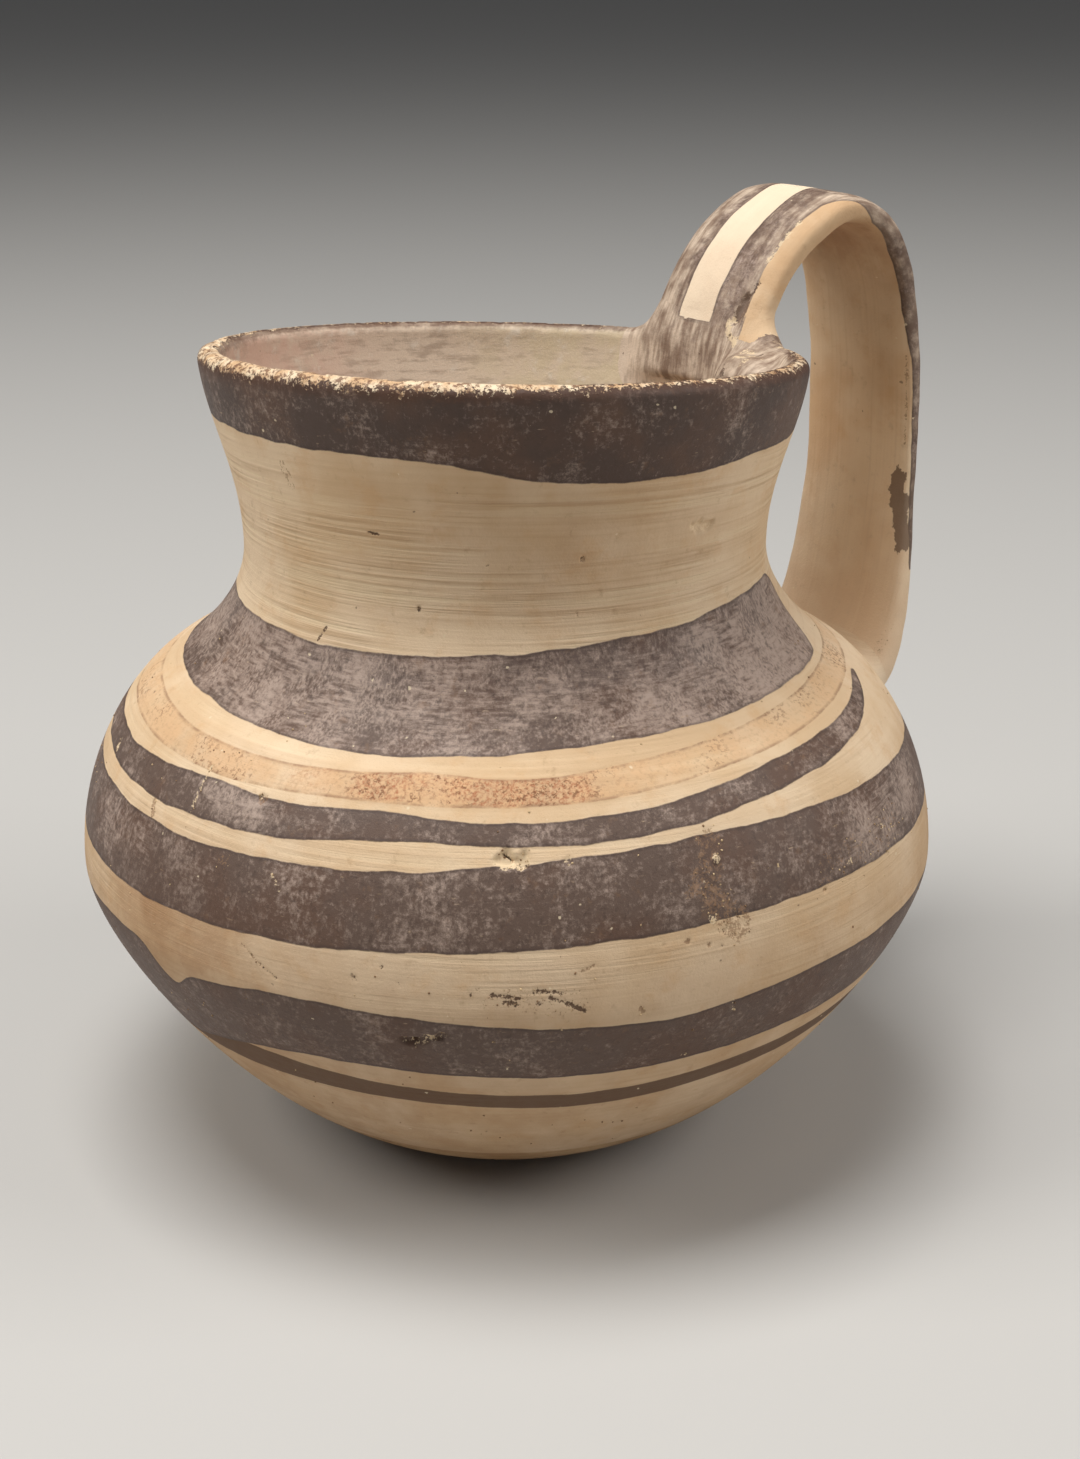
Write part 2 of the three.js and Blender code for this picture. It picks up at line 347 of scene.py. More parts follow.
def inner_along(height):
    return np.interp(height, outline[crest:, 1][::-1], outline_along[crest:][::-1])


# %% [markdown]
# ## The turned wall as a Geometry Nodes tree
#
# A wall of revolution follows a rule, so a tree makes it: a closed ring of outline is
# carried round a circle, then the mouth is made to lean by a shear that grows smoothly
# from the shoulder to the rim, and a slow noise pushes the wall in and out by a few
# tenths of a millimetre, as the fingers of the potter did. Its sizes are the modifier's
# inputs. Before the lean, the tree stores each point's height as `rise`, because the
# painter followed the pot and not the horizon.

# %% The turned wall as a Geometry Nodes tree
lean_along_x, lean_along_y = -4.05, -3.1
lean_rise = 7.5
lean_start = shoulder_height + lean_rise
ring_radius = 1.0
calm_radius, free_radius = 10, 40
swell_detail = 1.5


def new_tree(name, kind, inputs, outputs):
    tree = bpy.data.node_groups.new(name, kind)
    for direction, sockets in (("INPUT", inputs), ("OUTPUT", outputs)):
        for label, socket in sockets:
            tree.interface.new_socket(label, in_out=direction, socket_type="NodeSocket" + socket)
    return tree, put(tree, "NodeGroupInput").outputs, put(tree, "NodeGroupOutput").inputs


def close_tree(tree, geometry, material, output):
    """Ends a tree as the export needs it: real faces, smooth shading and a material."""
    real = put(tree, "GeometryNodeRealizeInstances", {"Geometry": geometry}).outputs["Geometry"]
    smooth = put(tree, "GeometryNodeSetShadeSmooth", {"Geometry": real}).outputs["Geometry"]
    clad = put(tree, "GeometryNodeSetMaterial", {"Geometry": smooth, "Material": material})
    fill(tree, output, clad.outputs["Geometry"])


def turned_wall_tree():
    tree, given, made = new_tree(
        "turned_wall",
        "GeometryNodeTree",
        [
            ("Outline", "Geometry"),
            ("Turns", "Int"),
            ("Ring Radius", "Float"),
            ("Lean X", "Float"),
            ("Lean Y", "Float"),
            ("Lean Start", "Float"),
            ("Lean End", "Float"),
            ("Unevenness", "Float"),
            ("Uneven Scale", "Float"),
            ("Seed", "Float"),
            ("Clay", "Material"),
        ],
        [("Wall", "Geometry")],
    )
    profile = put(tree, "GeometryNodeMeshToCurve", {"Mesh": given["Outline"]})
    circle = put(
        tree,
        "GeometryNodeCurvePrimitiveCircle",
        {"Resolution": given["Turns"], "Radius": given["Ring Radius"]},
    )
    wall = put(
        tree,
        "GeometryNodeCurveToMesh",
        {"Curve": circle.outputs["Curve"], "Profile Curve": profile.outputs["Curve"]},
    )
    joined = {"Geometry": wall.outputs["Mesh"], "Distance": weld_distance}
    welded = put(tree, "GeometryNodeMergeByDistance", joined)
    place = put(tree, "GeometryNodeInputPosition").outputs["Position"]
    parts = put(tree, "ShaderNodeSeparateXYZ", {"Vector": place}).outputs
    marked = put(
        tree,
        "GeometryNodeStoreNamedAttribute",
        {"Geometry": welded.outputs["Geometry"], "Name": "rise", "Value": parts["Z"]},
        data_type="FLOAT",
        domain="POINT",
    )
    share = ramp_up(tree, parts["Z"], given["Lean Start"], given["Lean End"])
    tilt = plus(
        tree,
        times(tree, parts["X"], given["Lean X"]),
        times(tree, parts["Y"], given["Lean Y"]),
    )
    lift = put(tree, "ShaderNodeCombineXYZ", {"Z": times(tree, share, tilt)})
    sideways = put(tree, "ShaderNodeCombineXYZ", {"X": parts["X"], "Y": parts["Y"]}).outputs[0]
    swell = put(
        tree,
        "ShaderNodeTexNoise",
        {"Vector": place, "W": given["Seed"], "Scale": given["Uneven Scale"], "Detail": swell_detail},
        noise_dimensions="4D",
    )
    free = ramp_up(tree, vector_node(tree, "LENGTH", sideways), calm_radius * MM, free_radius * MM)
    swing_out = math_node(tree, "SUBTRACT", swell.outputs["Fac"], 0.5)
    outward = vector_node(tree, "NORMALIZE", sideways)
    push = put(tree, "ShaderNodeVectorMath", {0: outward}, operation="SCALE")
    fill(tree, push.inputs["Scale"], times(tree, swing_out, times(tree, given["Unevenness"], free)))
    moved = put(
        tree,
        "GeometryNodeSetPosition",
        {
            "Geometry": marked.outputs["Geometry"],
            "Offset": vector_node(tree, "ADD", lift.outputs["Vector"], push.outputs["Vector"]),
        },
    )
    close_tree(tree, moved.outputs["Geometry"], given["Clay"], made["Wall"])
    return tree


def set_inputs(modifier, values):
    """A modifier's inputs are set by the sockets' identifiers, before it is evaluated."""
    sockets = {item.name: item.identifier for item in modifier.node_group.interface.items_tree}
    for name, value in values.items():
        modifier[sockets[name]] = value


def bake_modifier(thing):
    """The evaluated shape as a plain mesh, with the modifier taken off."""
    evaluated = thing.evaluated_get(bpy.context.evaluated_depsgraph_get())
    mesh = bpy.data.meshes.new_from_object(evaluated)
    thing.modifiers.clear()
    old = thing.data
    thing.data = mesh
    bpy.data.meshes.remove(old)
    mesh.name = thing.name
    return mesh


wall_tree = turned_wall_tree()
print("tree inputs:", [item.name for item in wall_tree.interface.items_tree if item.in_out == "INPUT"])

# %% [markdown]
# ## Painted edges
#
# Each band's upper and lower edge wanders as the brush did, so an edge is a closed line
# round the pot: a few points of (angle, height) joined smoothly. Angles run the usual
# way round from +X, where the handle stands, and the camera looks from about -127, which
# is the front.

# %% Painted edges
def round_line(*points):
    """A smooth closed line round the pot through points of (angle in degrees, height)."""
    angles = np.array([point[0] for point in points], float)
    heights = np.array([point[1] for point in points], float)
    order = np.argsort(angles % 360)
    angles, heights = angles[order] % 360, heights[order]
    angles = np.concatenate((angles[-2:] - 360, angles, angles[:2] + 360))
    heights = np.concatenate((heights[-2:], heights, heights[:2]))
    slopes = np.gradient(heights, angles)

    def height_at(angle):
        angle = np.mod(angle, 360)
        index = np.clip(np.searchsorted(angles, angle, side="right") - 1, 0, len(angles) - 2)
        span = angles[index + 1] - angles[index]
        t = (angle - angles[index]) / span
        return (
            heights[index] * (1 + 2 * t) * (1 - t) ** 2
            + slopes[index] * span * t * (1 - t) ** 2
            + heights[index + 1] * t**2 * (3 - 2 * t)
            + slopes[index + 1] * span * t**2 * (t - 1)
        )

    return height_at


rim_band_low = round_line(
    (-198, 139), (-165, 138), (-140, 137.5), (-120, 135), (-98, 134.6), (-70, 136.5), (-40, 137.6),
    (20, 138), (90, 139),
)
shoulder_band_top = round_line(
    (-190, 107), (-165, 106.6), (-130, 107.7), (-95, 109.4), (-60, 111), (60, 110.5), (115, 108),
)
shoulder_band_low = round_line((-190, 94), (-150, 93.3), (-115, 94.8), (-60, 96), (60, 96), (120, 94.6))
blush_band_top = round_line(
    (-200, 91.4), (-175, 90.7), (-148, 91.4), (-139, 92), (-128, 91.5), (-100, 93), (-70, 94.6),
    (0, 95), (70, 94.2), (115, 92.5),
)
blush_band_low = round_line(
    (-200, 87.3), (-170, 87), (-150, 87.9), (-115, 88.5), (-90, 90.3), (-60, 91.6), (0, 92),
    (70, 90.5), (120, 88.3),
)
thin_band_top = round_line(
    (-203, 84.5), (-190, 84.7), (-175, 86.1), (-155, 86.2), (-143, 87), (-136, 86.4), (-110, 86.8),
    (-90, 88.8), (-60, 90.3), (-45, 91.5), (45, 91.5), (70, 89), (110, 86),
)
thin_band_low = round_line(
    (-203, 80), (-160, 81), (-141, 83.2), (-115, 83), (-85, 85.5), (-55, 88.6), (-45, 91.3),
    (45, 91.3), (70, 86), (110, 82),
)
wide_band_top = round_line(
    (-203, 77), (-170, 77), (-140, 79), (-125, 80.6), (-100, 82), (-80, 81.2), (-48, 79), (40, 79),
    (110, 78),
)
wide_band_low = round_line(
    (-203, 64), (-175, 64.5), (-145, 66.2), (-120, 68), (-90, 69), (-48, 67.3), (40, 66.5), (110, 65),
)
low_band_top = round_line(
    (-200, 55.3), (-184, 56), (-178.5, 55), (-174, 49.6), (-170, 52.6), (-164, 54.4), (-118, 53.6),
    (-105, 53.3), (-92, 55.1), (-65, 56), (0, 55.5), (90, 55),
)
low_band_low = round_line(
    (-203, 34), (-180, 34), (-168, 38.6), (-161, 40.8), (-130, 42), (-115, 41.5), (-100, 42.3),
    (-70, 43.3), (0, 43), (90, 41), (130, 37),
)
brown_line_top = round_line(
    (-168, 40), (-135, 37), (-118, 36.3), (-90, 38), (-60, 39), (30, 38), (120, 38.5),
)
brown_line_low = round_line(
    (-175, 33), (-145, 33.3), (-115, 32.3), (-90, 33.8), (-60, 34.6), (60, 33.6), (140, 33),
)
front = -127
print("the rim's band ends at", round(float(rim_band_low(front)), 1), "mm at the front")

# %% [markdown]
# ## How deep a point lies inside the paint
#
# A shader needs one number to draw a crisp brush edge at any closeness: the distance in
# millimetres from a point to the edge of the paint, positive inside it. It is worked out
# here for every vertex and stored as an attribute, and the shader only has to ask where
# it crosses zero. Bands that stop at the handle are cut by the distance to their ends.

# %% How deep a point lies inside the paint
shoulder_band_end = 47
thin_band_end = 45
root_half_width, blush_root_gap = 19, 3
band_corner = 6
inner_paint_depth = 26
far_inside, far_outside = 9.0, -9.0


def short_turn(angle):
    """The same turn as an angle from -180 to 180 degrees."""
    return (angle + 180) % 360 - 180


def turn_distance(angle, radius, end_angle):
    """Distance round the pot from a line on the handle's side, positive away from the handle."""
    return np.radians(np.abs(short_turn(angle)) - end_angle) * radius


def round_corner(first, second, corner):
    """The lesser of two distances, with a rounded corner where they meet."""
    bend = np.hypot(np.maximum(corner - first, 0), np.maximum(corner - second, 0))
    return np.where((first > corner) & (second > corner), np.minimum(first, second), corner - bend)


def between(along, low, high):
    return np.minimum(along - low, high - along)


def band_depth(angle, along, low_line, top_line):
    """Depth inside a band between two painted edges."""
    return between(along, outer_along(low_line(angle)), outer_along(top_line(angle)))


def wall_paint(angle, along, radius):
    """Depth inside the dark paint, the blush band and the brown line, for the wall."""
    inner_edge = inner_along(rim_height - inner_paint_depth)
    rim = between(along, outer_along(rim_band_low(angle)), inner_edge)
    shoulder = round_corner(
        band_depth(angle, along, shoulder_band_low, shoulder_band_top),
        turn_distance(angle, radius, shoulder_band_end),
        band_corner,
    )
    thin = np.minimum(
        band_depth(angle, along, thin_band_low, thin_band_top),
        turn_distance(angle, radius, thin_band_end),
    )
    root_side = turn_distance(angle, radius, 0) - root_half_width
    wide = np.minimum(band_depth(angle, along, wide_band_low, wide_band_top), root_side)
    low = band_depth(angle, along, low_band_low, low_band_top)
    dark = np.max([rim, shoulder, thin, wide, low], axis=0)
    blush = band_depth(angle, along, blush_band_low, blush_band_top)
    blush = np.minimum(blush, root_side - blush_root_gap)
    line = band_depth(angle, along, brown_line_low, brown_line_top)
    return dark, blush, line


crest_depth = float(wall_paint(front, crest_along, lip_radius)[0])
print("the rim's crest lies", round(crest_depth, 1), "mm inside the paint")

# %% [markdown]
# ## Marks of age
#
# Pits, chips, stains and splashes each lie in one place, so they are a list: where a
# mark starts and ends, how wide it is, how deep it is cut, and what colour it leaves.
# Masks are stored in attributes of their own, `chalk` for pale bare clay and lime,
# `scorch` for near-black, one for dull dark brown, which is soot and also painted shade
# inside a pit on the strap, and `stain` for ochre. Where marks lie, the mesh is divided
# finer, so that a pit is a real hollow and its edge isn't a blur.

# %% Marks of age
Mark = namedtuple("Mark", "start end width depth tint strength")


def spot(angle, height, width, depth, tint, strength):
    return Mark((angle, height), (angle, height), width, depth, tint, strength)


wall_marks = [
    Mark((-154.2, 125.7), (-152.2, 125.5), 0.34, 0.25, "scorch", 0.7),
    spot(-112, 122.3, 0.6, 0.3, "scorch", 0.6),
    spot(-130.5, 121.7, 0.5, 0.2, "scorch", 0.6),
    spot(-144.5, 114.3, 0.5, 0.3, "scorch", 0.55),
    Mark((-166.8, 106.9), (-165.2, 109.4), 0.3, 0.1, "scorch", 0.7),
    Mark((-173, 134.8), (-172, 131.6), 1.1, 0.0, "stain", 0.45),
    spot(-113, 113.5, 0.5, 0.1, "stain", 0.7),
    Mark((-87.2, 125.4), (-82.2, 125.2), 1.3, 0.7, "chalk", 0.45),
    Mark((-127.6, 81.6), (-125.4, 81.0), 1.9, 0.7, "chalk", 0.75),
    Mark((-127.6, 82.2), (-126.4, 81.2), 0.3, 0.5, "scorch", 0.7),
    spot(-124.6, 80.4, 0.5, 0.4, "scorch", 0.6),
    spot(-119.6, 80.9, 0.9, 0.2, "chalk", 0.5),
    Mark((-101.0, 81.5), (-101.8, 73.5), 2.6, 0.12, "stain", 0.5),
    Mark((-102.5, 74), (-99.0, 67.5), 3.4, 0.1, "stain", 0.52),
    spot(-100.3, 78.2, 0.9, -0.35, "chalk", 0.7),
    spot(-102.2, 69.2, 1.1, 0.0, "chalk", 0.6),
    spot(-98.9, 69.0, 0.9, 0.15, "chalk", 0.5),
    Mark((-83, 71.5), (-66, 72.5), 3.8, 0.0, "stain", 0.3),
    spot(-79.2, 70.8, 0.8, 0.0, "chalk", 0.55),
    spot(-70, 73, 1.8, 0.0, "chalk", 0.35),
    spot(-84.8, 68.3, 0.7, 0.4, "scorch", 0.5),
    spot(-108.8, 66.6, 0.6, 0.3, "scorch", 0.5),
    spot(-105.6, 66.5, 0.6, 0.25, "stain", 0.7),
    spot(-103.0, 65.2, 0.6, 0.3, "stain", 0.7),
    spot(-100.8, 67.0, 0.6, 0.25, "scorch", 0.5),
    spot(-101.4, 64.5, 0.5, 0.2, "scorch", 0.45),
    spot(-99.6, 65.9, 0.5, 0.2, "scorch", 0.45),
    Mark((-129, 60.5), (-125.8, 59.7), 0.5, 0.1, "scorch", 0.7),
    Mark((-127.4, 59.1), (-126.3, 58.8), 0.6, 0.1, "scorch", 0.7),
    Mark((-124.2, 60.9), (-121.0, 60.5), 0.45, 0.1, "scorch", 0.65),
    Mark((-122.4, 59.9), (-118.4, 57.2), 0.5, 0.1, "scorch", 0.75),
    spot(-123.6, 58.8, 0.5, 0.1, "scorch", 0.65),
    spot(-131.4, 60.4, 0.4, 0.1, "scorch", 0.5),
    Mark((-129, 59.9), (-119, 58.6), 2.6, 0.0, "stain", 0.3),
    spot(-111.6, 55.9, 0.9, 0.15, "stain", 0.8),
    Mark((-118.6, 63.9), (-117.2, 64.7), 0.3, 0.1, "stain", 0.6),
    Mark((-160.3, 63.4), (-157.5, 60.6), 0.22, 0.1, "stain", 0.8),
    Mark((-157.5, 60.6), (-155.2, 58.8), 0.36, 0.15, "scorch", 0.5),
    Mark((-145.4, 62.3), (-145.0, 61.2), 0.35, 0.1, "scorch", 0.4),
    spot(-141.8, 64.0, 0.45, 0.1, "scorch", 0.5),
    spot(-139.8, 61.5, 0.4, 0.1, "scorch", 0.4),
    Mark((-139.8, 50.7), (-138.4, 50.1), 1.5, 0.9, "chalk", 0.42),
    Mark((-138.4, 50.4), (-134.6, 52.0), 1.1, 0.7, "chalk", 0.42),
    Mark((-99.6, 54.3), (-99.1, 51.2), 0.4, 0.1, "chalk", 0.4),
    spot(-104.5, 43.0, 0.7, 0.1, "chalk", 0.4),
    Mark((-173.4, 87.6), (-173.2, 79.2), 0.45, 0.15, "chalk", 0.45),
    spot(-162.0, 85.6, 1.1, 0.3, "stain", 0.7),
    spot(-162.6, 86.1, 0.7, 0.1, "chalk", 0.45),
    Mark((-181.4, 79.6), (-180.6, 77.6), 0.8, 0.0, "stain", 0.6),
    Mark((-200.4, 82.0), (-199.2, 80.2), 0.8, 0.2, "chalk", 0.7),
    Mark((-157.2, 75.6), (-155.8, 73.6), 0.4, 0.0, "chalk", 0.6),
    spot(-165, 75.5, 1.6, 0.0, "stain", 0.45),
    Mark((-154, 11.8), (-148, 10.8), 0.7, 0.0, "scorch", 0.5),
    spot(60, 118, 0.7, 0.3, "scorch", 0.7),
    Mark((74, 72), (79, 70.5), 1.2, 0.4, "chalk", 0.6),
    Mark((112, 60.5), (116, 58), 0.5, 0.1, "scorch", 0.7),
    spot(134, 88, 1.2, 0.3, "stain", 0.6),
    Mark((38, 47), (42, 48.5), 1.3, 0.5, "chalk", 0.5),
]
tint_names = ("chalk", "scorch", "stain", "soot")
fine_reach = 1.8
speck_wobble = 0.55
far_away = 1e3
print("marks on the wall:", len(wall_marks))


def value_noise(points, size, offset=0.0):
    """Smooth noise from -1 to 1 at points in mm, with lumps about as wide as size."""
    shift = Vector((offset, offset * 0.37, -offset * 0.71))
    return np.array([noise.noise(Vector(point) / size + shift) for point in points])


def mark_distance(mark, angle, along, radius):
    """Distance over the surface from each vertex to the mark's middle line."""
    start_along, end_along = outer_along(mark.start[1]), outer_along(mark.end[1])
    across = np.radians(short_turn(angle - mark.start[0])) * radius
    reach = np.radians(short_turn(mark.end[0] - mark.start[0])) * radius
    up, rise = along - start_along, end_along - start_along
    length = np.maximum(reach**2 + rise**2, 1e-9)
    share = np.clip((across * reach + up * rise) / length, 0, 1)
    return np.hypot(across - share * reach, up - share * rise)


# %% [markdown]
# ## From outline to turned course
#
# Each course of the wall takes its own stretch of the outline, closed into a ring along
# its flat seams, and goes through the tree. The rows of vertices lie close together where
# the camera and the marks need them, and far apart inside.

# %% From outline to turned course
wall_turns = 560
outer_step, inner_step, crest_step = 0.8, 2.2, 0.45
crest_reach = 7
unevenness, uneven_size, uneven_seed = 0.9, 45, 7.3


def rows(start, end, step):
    count = max(2, int(round(abs(end - start) / step)) + 1)
    return np.linspace(start, end, count)


def course_rows(low, high):
    """The distances along the outline of one course's ring of vertices, and if it closes."""
    if high >= rim_height:
        outer = rows(outer_along(low), crest_along - crest_reach, outer_step)
        top = rows(crest_along - crest_reach, crest_along + crest_reach, crest_step)[1:]
        inner = rows(crest_along + crest_reach, inner_along(low), inner_step)[1:]
        return np.concatenate((outer, top, inner)), True
    start = 0 if low <= 0 else outer_along(low)
    finish = outline_along[-1] if low <= 0 else inner_along(low)
    outer = rows(start, outer_along(high), outer_step)
    inner = rows(inner_along(high), finish, inner_step)
    return np.concatenate((outer, inner)), low > 0


def link_piece(name, mesh):
    piece = bpy.data.objects.new(name, mesh)
    bpy.context.scene.collection.objects.link(piece)
    return piece


def turn_course(name, low, high):
    along, closed = course_rows(low, high)
    radius = np.interp(along, outline_along, outline[:, 0])
    height = np.interp(along, outline_along, outline[:, 1])
    corners = [(r - ring_radius, -z, 0) for r, z in zip(radius, height)]
    count = len(corners)
    links = [(i, (i + 1) % count) for i in range(count if closed else count - 1)]
    mesh = bpy.data.meshes.new(name)
    mesh.from_pydata([Vector(corner) * MM for corner in corners], links, [])
    mesh.attributes.new("along", "FLOAT", "POINT").data.foreach_set("value", along)
    piece = link_piece(name, mesh)
    modifier = piece.modifiers.new("turned_wall", "NODES")
    modifier.node_group = wall_tree
    set_inputs(
        modifier,
        {
            "Turns": wall_turns,
            "Ring Radius": ring_radius * MM,
            "Lean X": lean_along_x / lip_radius,
            "Lean Y": lean_along_y / lip_radius,
            "Lean Start": lean_start * MM,
            "Lean End": rim_height * MM,
            "Unevenness": unevenness * MM,
            "Uneven Scale": 1 / (uneven_size * MM),
            "Seed": uneven_seed,
        },
    )
    bake_modifier(piece)
    return piece


print("rows of the lip:", len(course_rows(lip_seam, rim_height)[0]))

# %% [markdown]
# ## Reading and writing vertices
#
# Blender hands out vertices one by one, which is slow in Python. Whole lists go over at
# once with `foreach_get` and `foreach_set`, and numpy works on them in between. Each mesh
# also says here whether it faces outward, and can be cut finer where a mark needs it.

# %% Reading and writing vertices
def read_values(mesh, name):
    values = np.zeros(len(mesh.vertices), np.float32)
    mesh.attributes[name].data.foreach_get("value", values)
    return values.astype(float)


def store_values(mesh, name, values):
    attribute = mesh.attributes.get(name) or mesh.attributes.new(name, "FLOAT", "POINT")
    attribute.data.foreach_set("value", np.asarray(values, np.float32))


def store_brush(mesh, vectors):
    """The brush's own directions in mm: strokes run in the first two, and cross in the third."""
    attribute = mesh.attributes.new("brush", "FLOAT_VECTOR", "POINT")
    attribute.data.foreach_set("vector", np.asarray(vectors, np.float32).ravel())


def vertex_places(mesh):
    places = np.zeros(len(mesh.vertices) * 3, np.float32)
    mesh.vertices.foreach_get("co", places)
    return places.reshape(-1, 3).astype(float) / MM


def vertex_normals(mesh):
    normals = np.zeros(len(mesh.vertices) * 3, np.float32)
    mesh.vertex_normals.foreach_get("vector", normals)
    return normals.reshape(-1, 3).astype(float)


def move_vertices(mesh, places):
    mesh.vertices.foreach_set("co", (places * MM).astype(np.float32).ravel())
    mesh.update()


def face_outward(mesh):
    """Turns every face round if the closed mesh holds a negative volume."""
    mesh.calc_loop_triangles()
    places = vertex_places(mesh)
    corners = np.zeros(len(mesh.loop_triangles) * 3, np.int32)
    mesh.loop_triangles.foreach_get("vertices", corners)
    a, b, c = (places[corners[start::3]] for start in range(3))
    if np.einsum("ij,ij->i", a, np.cross(b, c)).sum() < 0:
        mesh.flip_normals()


def divide_near(mesh, near):
    """Cuts every edge between chosen vertices in three, which leaves the mesh closed."""
    form = bmesh.new()
    form.from_mesh(mesh)
    form.verts.ensure_lookup_table()
    chosen = [edge for edge in form.edges if near[edge.verts[0].index] and near[edge.verts[1].index]]
    bmesh.ops.subdivide_edges(form, edges=chosen, cuts=2, use_grid_fill=True)
    form.to_mesh(mesh)
    form.free()


def wall_coordinates(mesh):
    places = vertex_places(mesh)
    angle = np.degrees(np.arctan2(places[:, 1], places[:, 0]))
    radius = np.hypot(places[:, 0], places[:, 1])
    return places, angle, read_values(mesh, "along"), radius


def smooth_share(value, low, high):
    share = np.clip((value - low) / (high - low), 0, 1)
    return share * share * (3 - 2 * share)


def bell(value, middle, width):
    return np.exp(-(((value - middle) / width) ** 2))


def turn_bell(angle, middle, width):
    """A bell round the pot, without a seam on its far side."""
    return bell(short_turn(angle - middle), 0, width)


print("a bell at its width:", round(float(bell(1, 0, 1)), 3))

# %% [markdown]
# ## Dust and soaked-in earth
#
# Dust and earth have no edge, so they aren't marks but soft patches: each is a bell round
# the pot, a bell up its wall and an amount. A patch whose angle is None goes all round.
# `dust` says how much pale dust clings to the paint, most on the shoulder and its two
# sides. `earth` says how much brown earth has soaked into the slip, low on the belly,
# round the neck and in the blush band.

# %% Dust and soaked-in earth
Patch = namedtuple("Patch", "angle angle_width rise rise_width amount")
all_round = (None, None)
shoulder_rise, wide_rise, thin_rise, lip_rise = (101, 12), (74, 8), (84, 3), (140, 12)
everywhere_dust = 0.24
dust_patches = [
    Patch(*all_round, *shoulder_rise, 0.32),
    Patch(-172, 26, *shoulder_rise, 0.16),
    Patch(-58, 24, *shoulder_rise, 0.42),
    Patch(*all_round, *wide_rise, 0.1),
    Patch(-66, 16, *wide_rise, 0.32),
    Patch(172, 14, *wide_rise, 0.2),
    Patch(-166, 9, *thin_rise, 0.3),
    Patch(-172, 30, *lip_rise, 0.12),
    Patch(*all_round, *lip_rise, -0.07),
]
earth_patches = [
    Patch(-112, 40, 126, 18, 0.34),
    Patch(-42, 18, 70, 12, 0.4),
    Patch(-174, 13, 66, 9, 0.6),
]
blush_earth = [(-125, 14, 0.55), (-176, 16, 0.26), (-146, 6, 0.4)]
blush_soak_edge = 0.6
belly_earth, belly_earth_left = 0.42, (-165, 30, 0.2)
belly_earth_full, belly_earth_none = 46, 80
most_earth = 0.8


def soft_patches(patches, angle, rise):
    total = np.zeros(len(angle))
    for patch in patches:
        share = bell(rise, patch.rise, patch.rise_width)
        if patch.angle is not None:
            share = share * turn_bell(angle, patch.angle, patch.angle_width)
        total += patch.amount * share
    return total


def wall_dust(angle, rise):
    return everywhere_dust + soft_patches(dust_patches, angle, rise)


def wall_earth(angle, rise, blush):
    band = sum(amount * turn_bell(angle, middle, width) for middle, width, amount in blush_earth)
    band = band * smooth_share(blush, -blush_soak_edge, blush_soak_edge)
    middle, width, amount = belly_earth_left
    low = belly_earth + amount * turn_bell(angle, middle, width)
    low = low * (1 - smooth_share(rise, belly_earth_full, belly_earth_none))
    return np.minimum(low + band + soft_patches(earth_patches, angle, rise), most_earth)


print("patches of dust and earth:", len(dust_patches) + len(earth_patches) + len(blush_earth))

# %% [markdown]
# ## Painting and wearing the wall
#
# Now each course gets its attributes and its wear. The paint depths and the patches are
# stored, `worn` says where the paint is rubbed thin, inside the mouth and beside the
# strap, and each mark leaves its tint and is pressed in along the normals, with a ragged
# edge from noise. The rim's crest is nicked by noise that only bites near it, most of all
# on the left.

# %% Painting and wearing the wall
inside_wear, inside_wear_start, inside_wear_full = 1.2, -0.5, 2.5
root_wear, root_wear_start, root_wear_full = 0.85, -6, -2
root_wear_near, root_wear_far = 26, 44
crest_limit = 40
mark_edge, wall_mark_full, wall_pit_full = -0.15, 0.45, 0.8


def store_wall_paint(mesh, marks):
    """Stores the paint depths and the marks' tints, and presses the marks in."""
    places, angle, along, radius = wall_coordinates(mesh)
    outside = along < crest_along
    dark, blush, line = wall_paint(angle, along, radius)
    store_values(mesh, "paint", np.clip(dark, far_outside, far_inside))
    store_values(mesh, "blush", np.clip(np.where(outside, blush, far_outside), far_outside, far_inside))
    store_values(mesh, "line", np.clip(np.where(outside, line, far_outside), far_outside, far_inside))
    past_crest = along - crest_along
    store_values(mesh, "crest", np.clip(past_crest, -crest_limit, crest_limit))
    rise = read_values(mesh, "rise") / MM
    store_brush(mesh, np.column_stack((places[:, :2], rise)))
    store_values(mesh, "dust", wall_dust(angle, rise))
    store_values(mesh, "fresh", np.zeros(len(places)))
    store_values(mesh, "earth", np.where(outside, wall_earth(angle, rise, blush), 0))
    inner = inside_wear * smooth_share(past_crest, inside_wear_start, inside_wear_full)
    near_strap = 1 - smooth_share(np.abs(angle), root_wear_near, root_wear_far)
    beside = root_wear * near_strap * smooth_share(past_crest, root_wear_start, root_wear_full)
    store_values(mesh, "worn", np.maximum(inner, beside))
    tints = {tint: np.zeros(len(places)) for tint in tint_names}
    press = np.zeros(len(places))
    for mark in marks:
        distance = np.where(outside, mark_distance(mark, angle, along, radius), far_away)
        near = np.nonzero(distance < mark.width * fine_reach)[0]
        if len(near) == 0:
            continue
        wobble = value_noise(places[near], 0.9 + mark.width * 0.5, mark.start[0])
        depth = 1 - (distance[near] / mark.width + speck_wobble * wobble)
        mask = smooth_share(depth, mark_edge, wall_mark_full)
        tints[mark.tint][near] = np.maximum(tints[mark.tint][near], mask * mark.strength)
        press[near] -= mark.depth * smooth_share(depth, 0.0, wall_pit_full)
    for tint, values in tints.items():
        store_values(mesh, tint, values)
    return places, press


rim_wear_depth, rim_wear_reach, rim_wear_full = 0.45, 4.5, 0.6
worn_side, worn_side_width = -178, 60
least_worn = 0.35


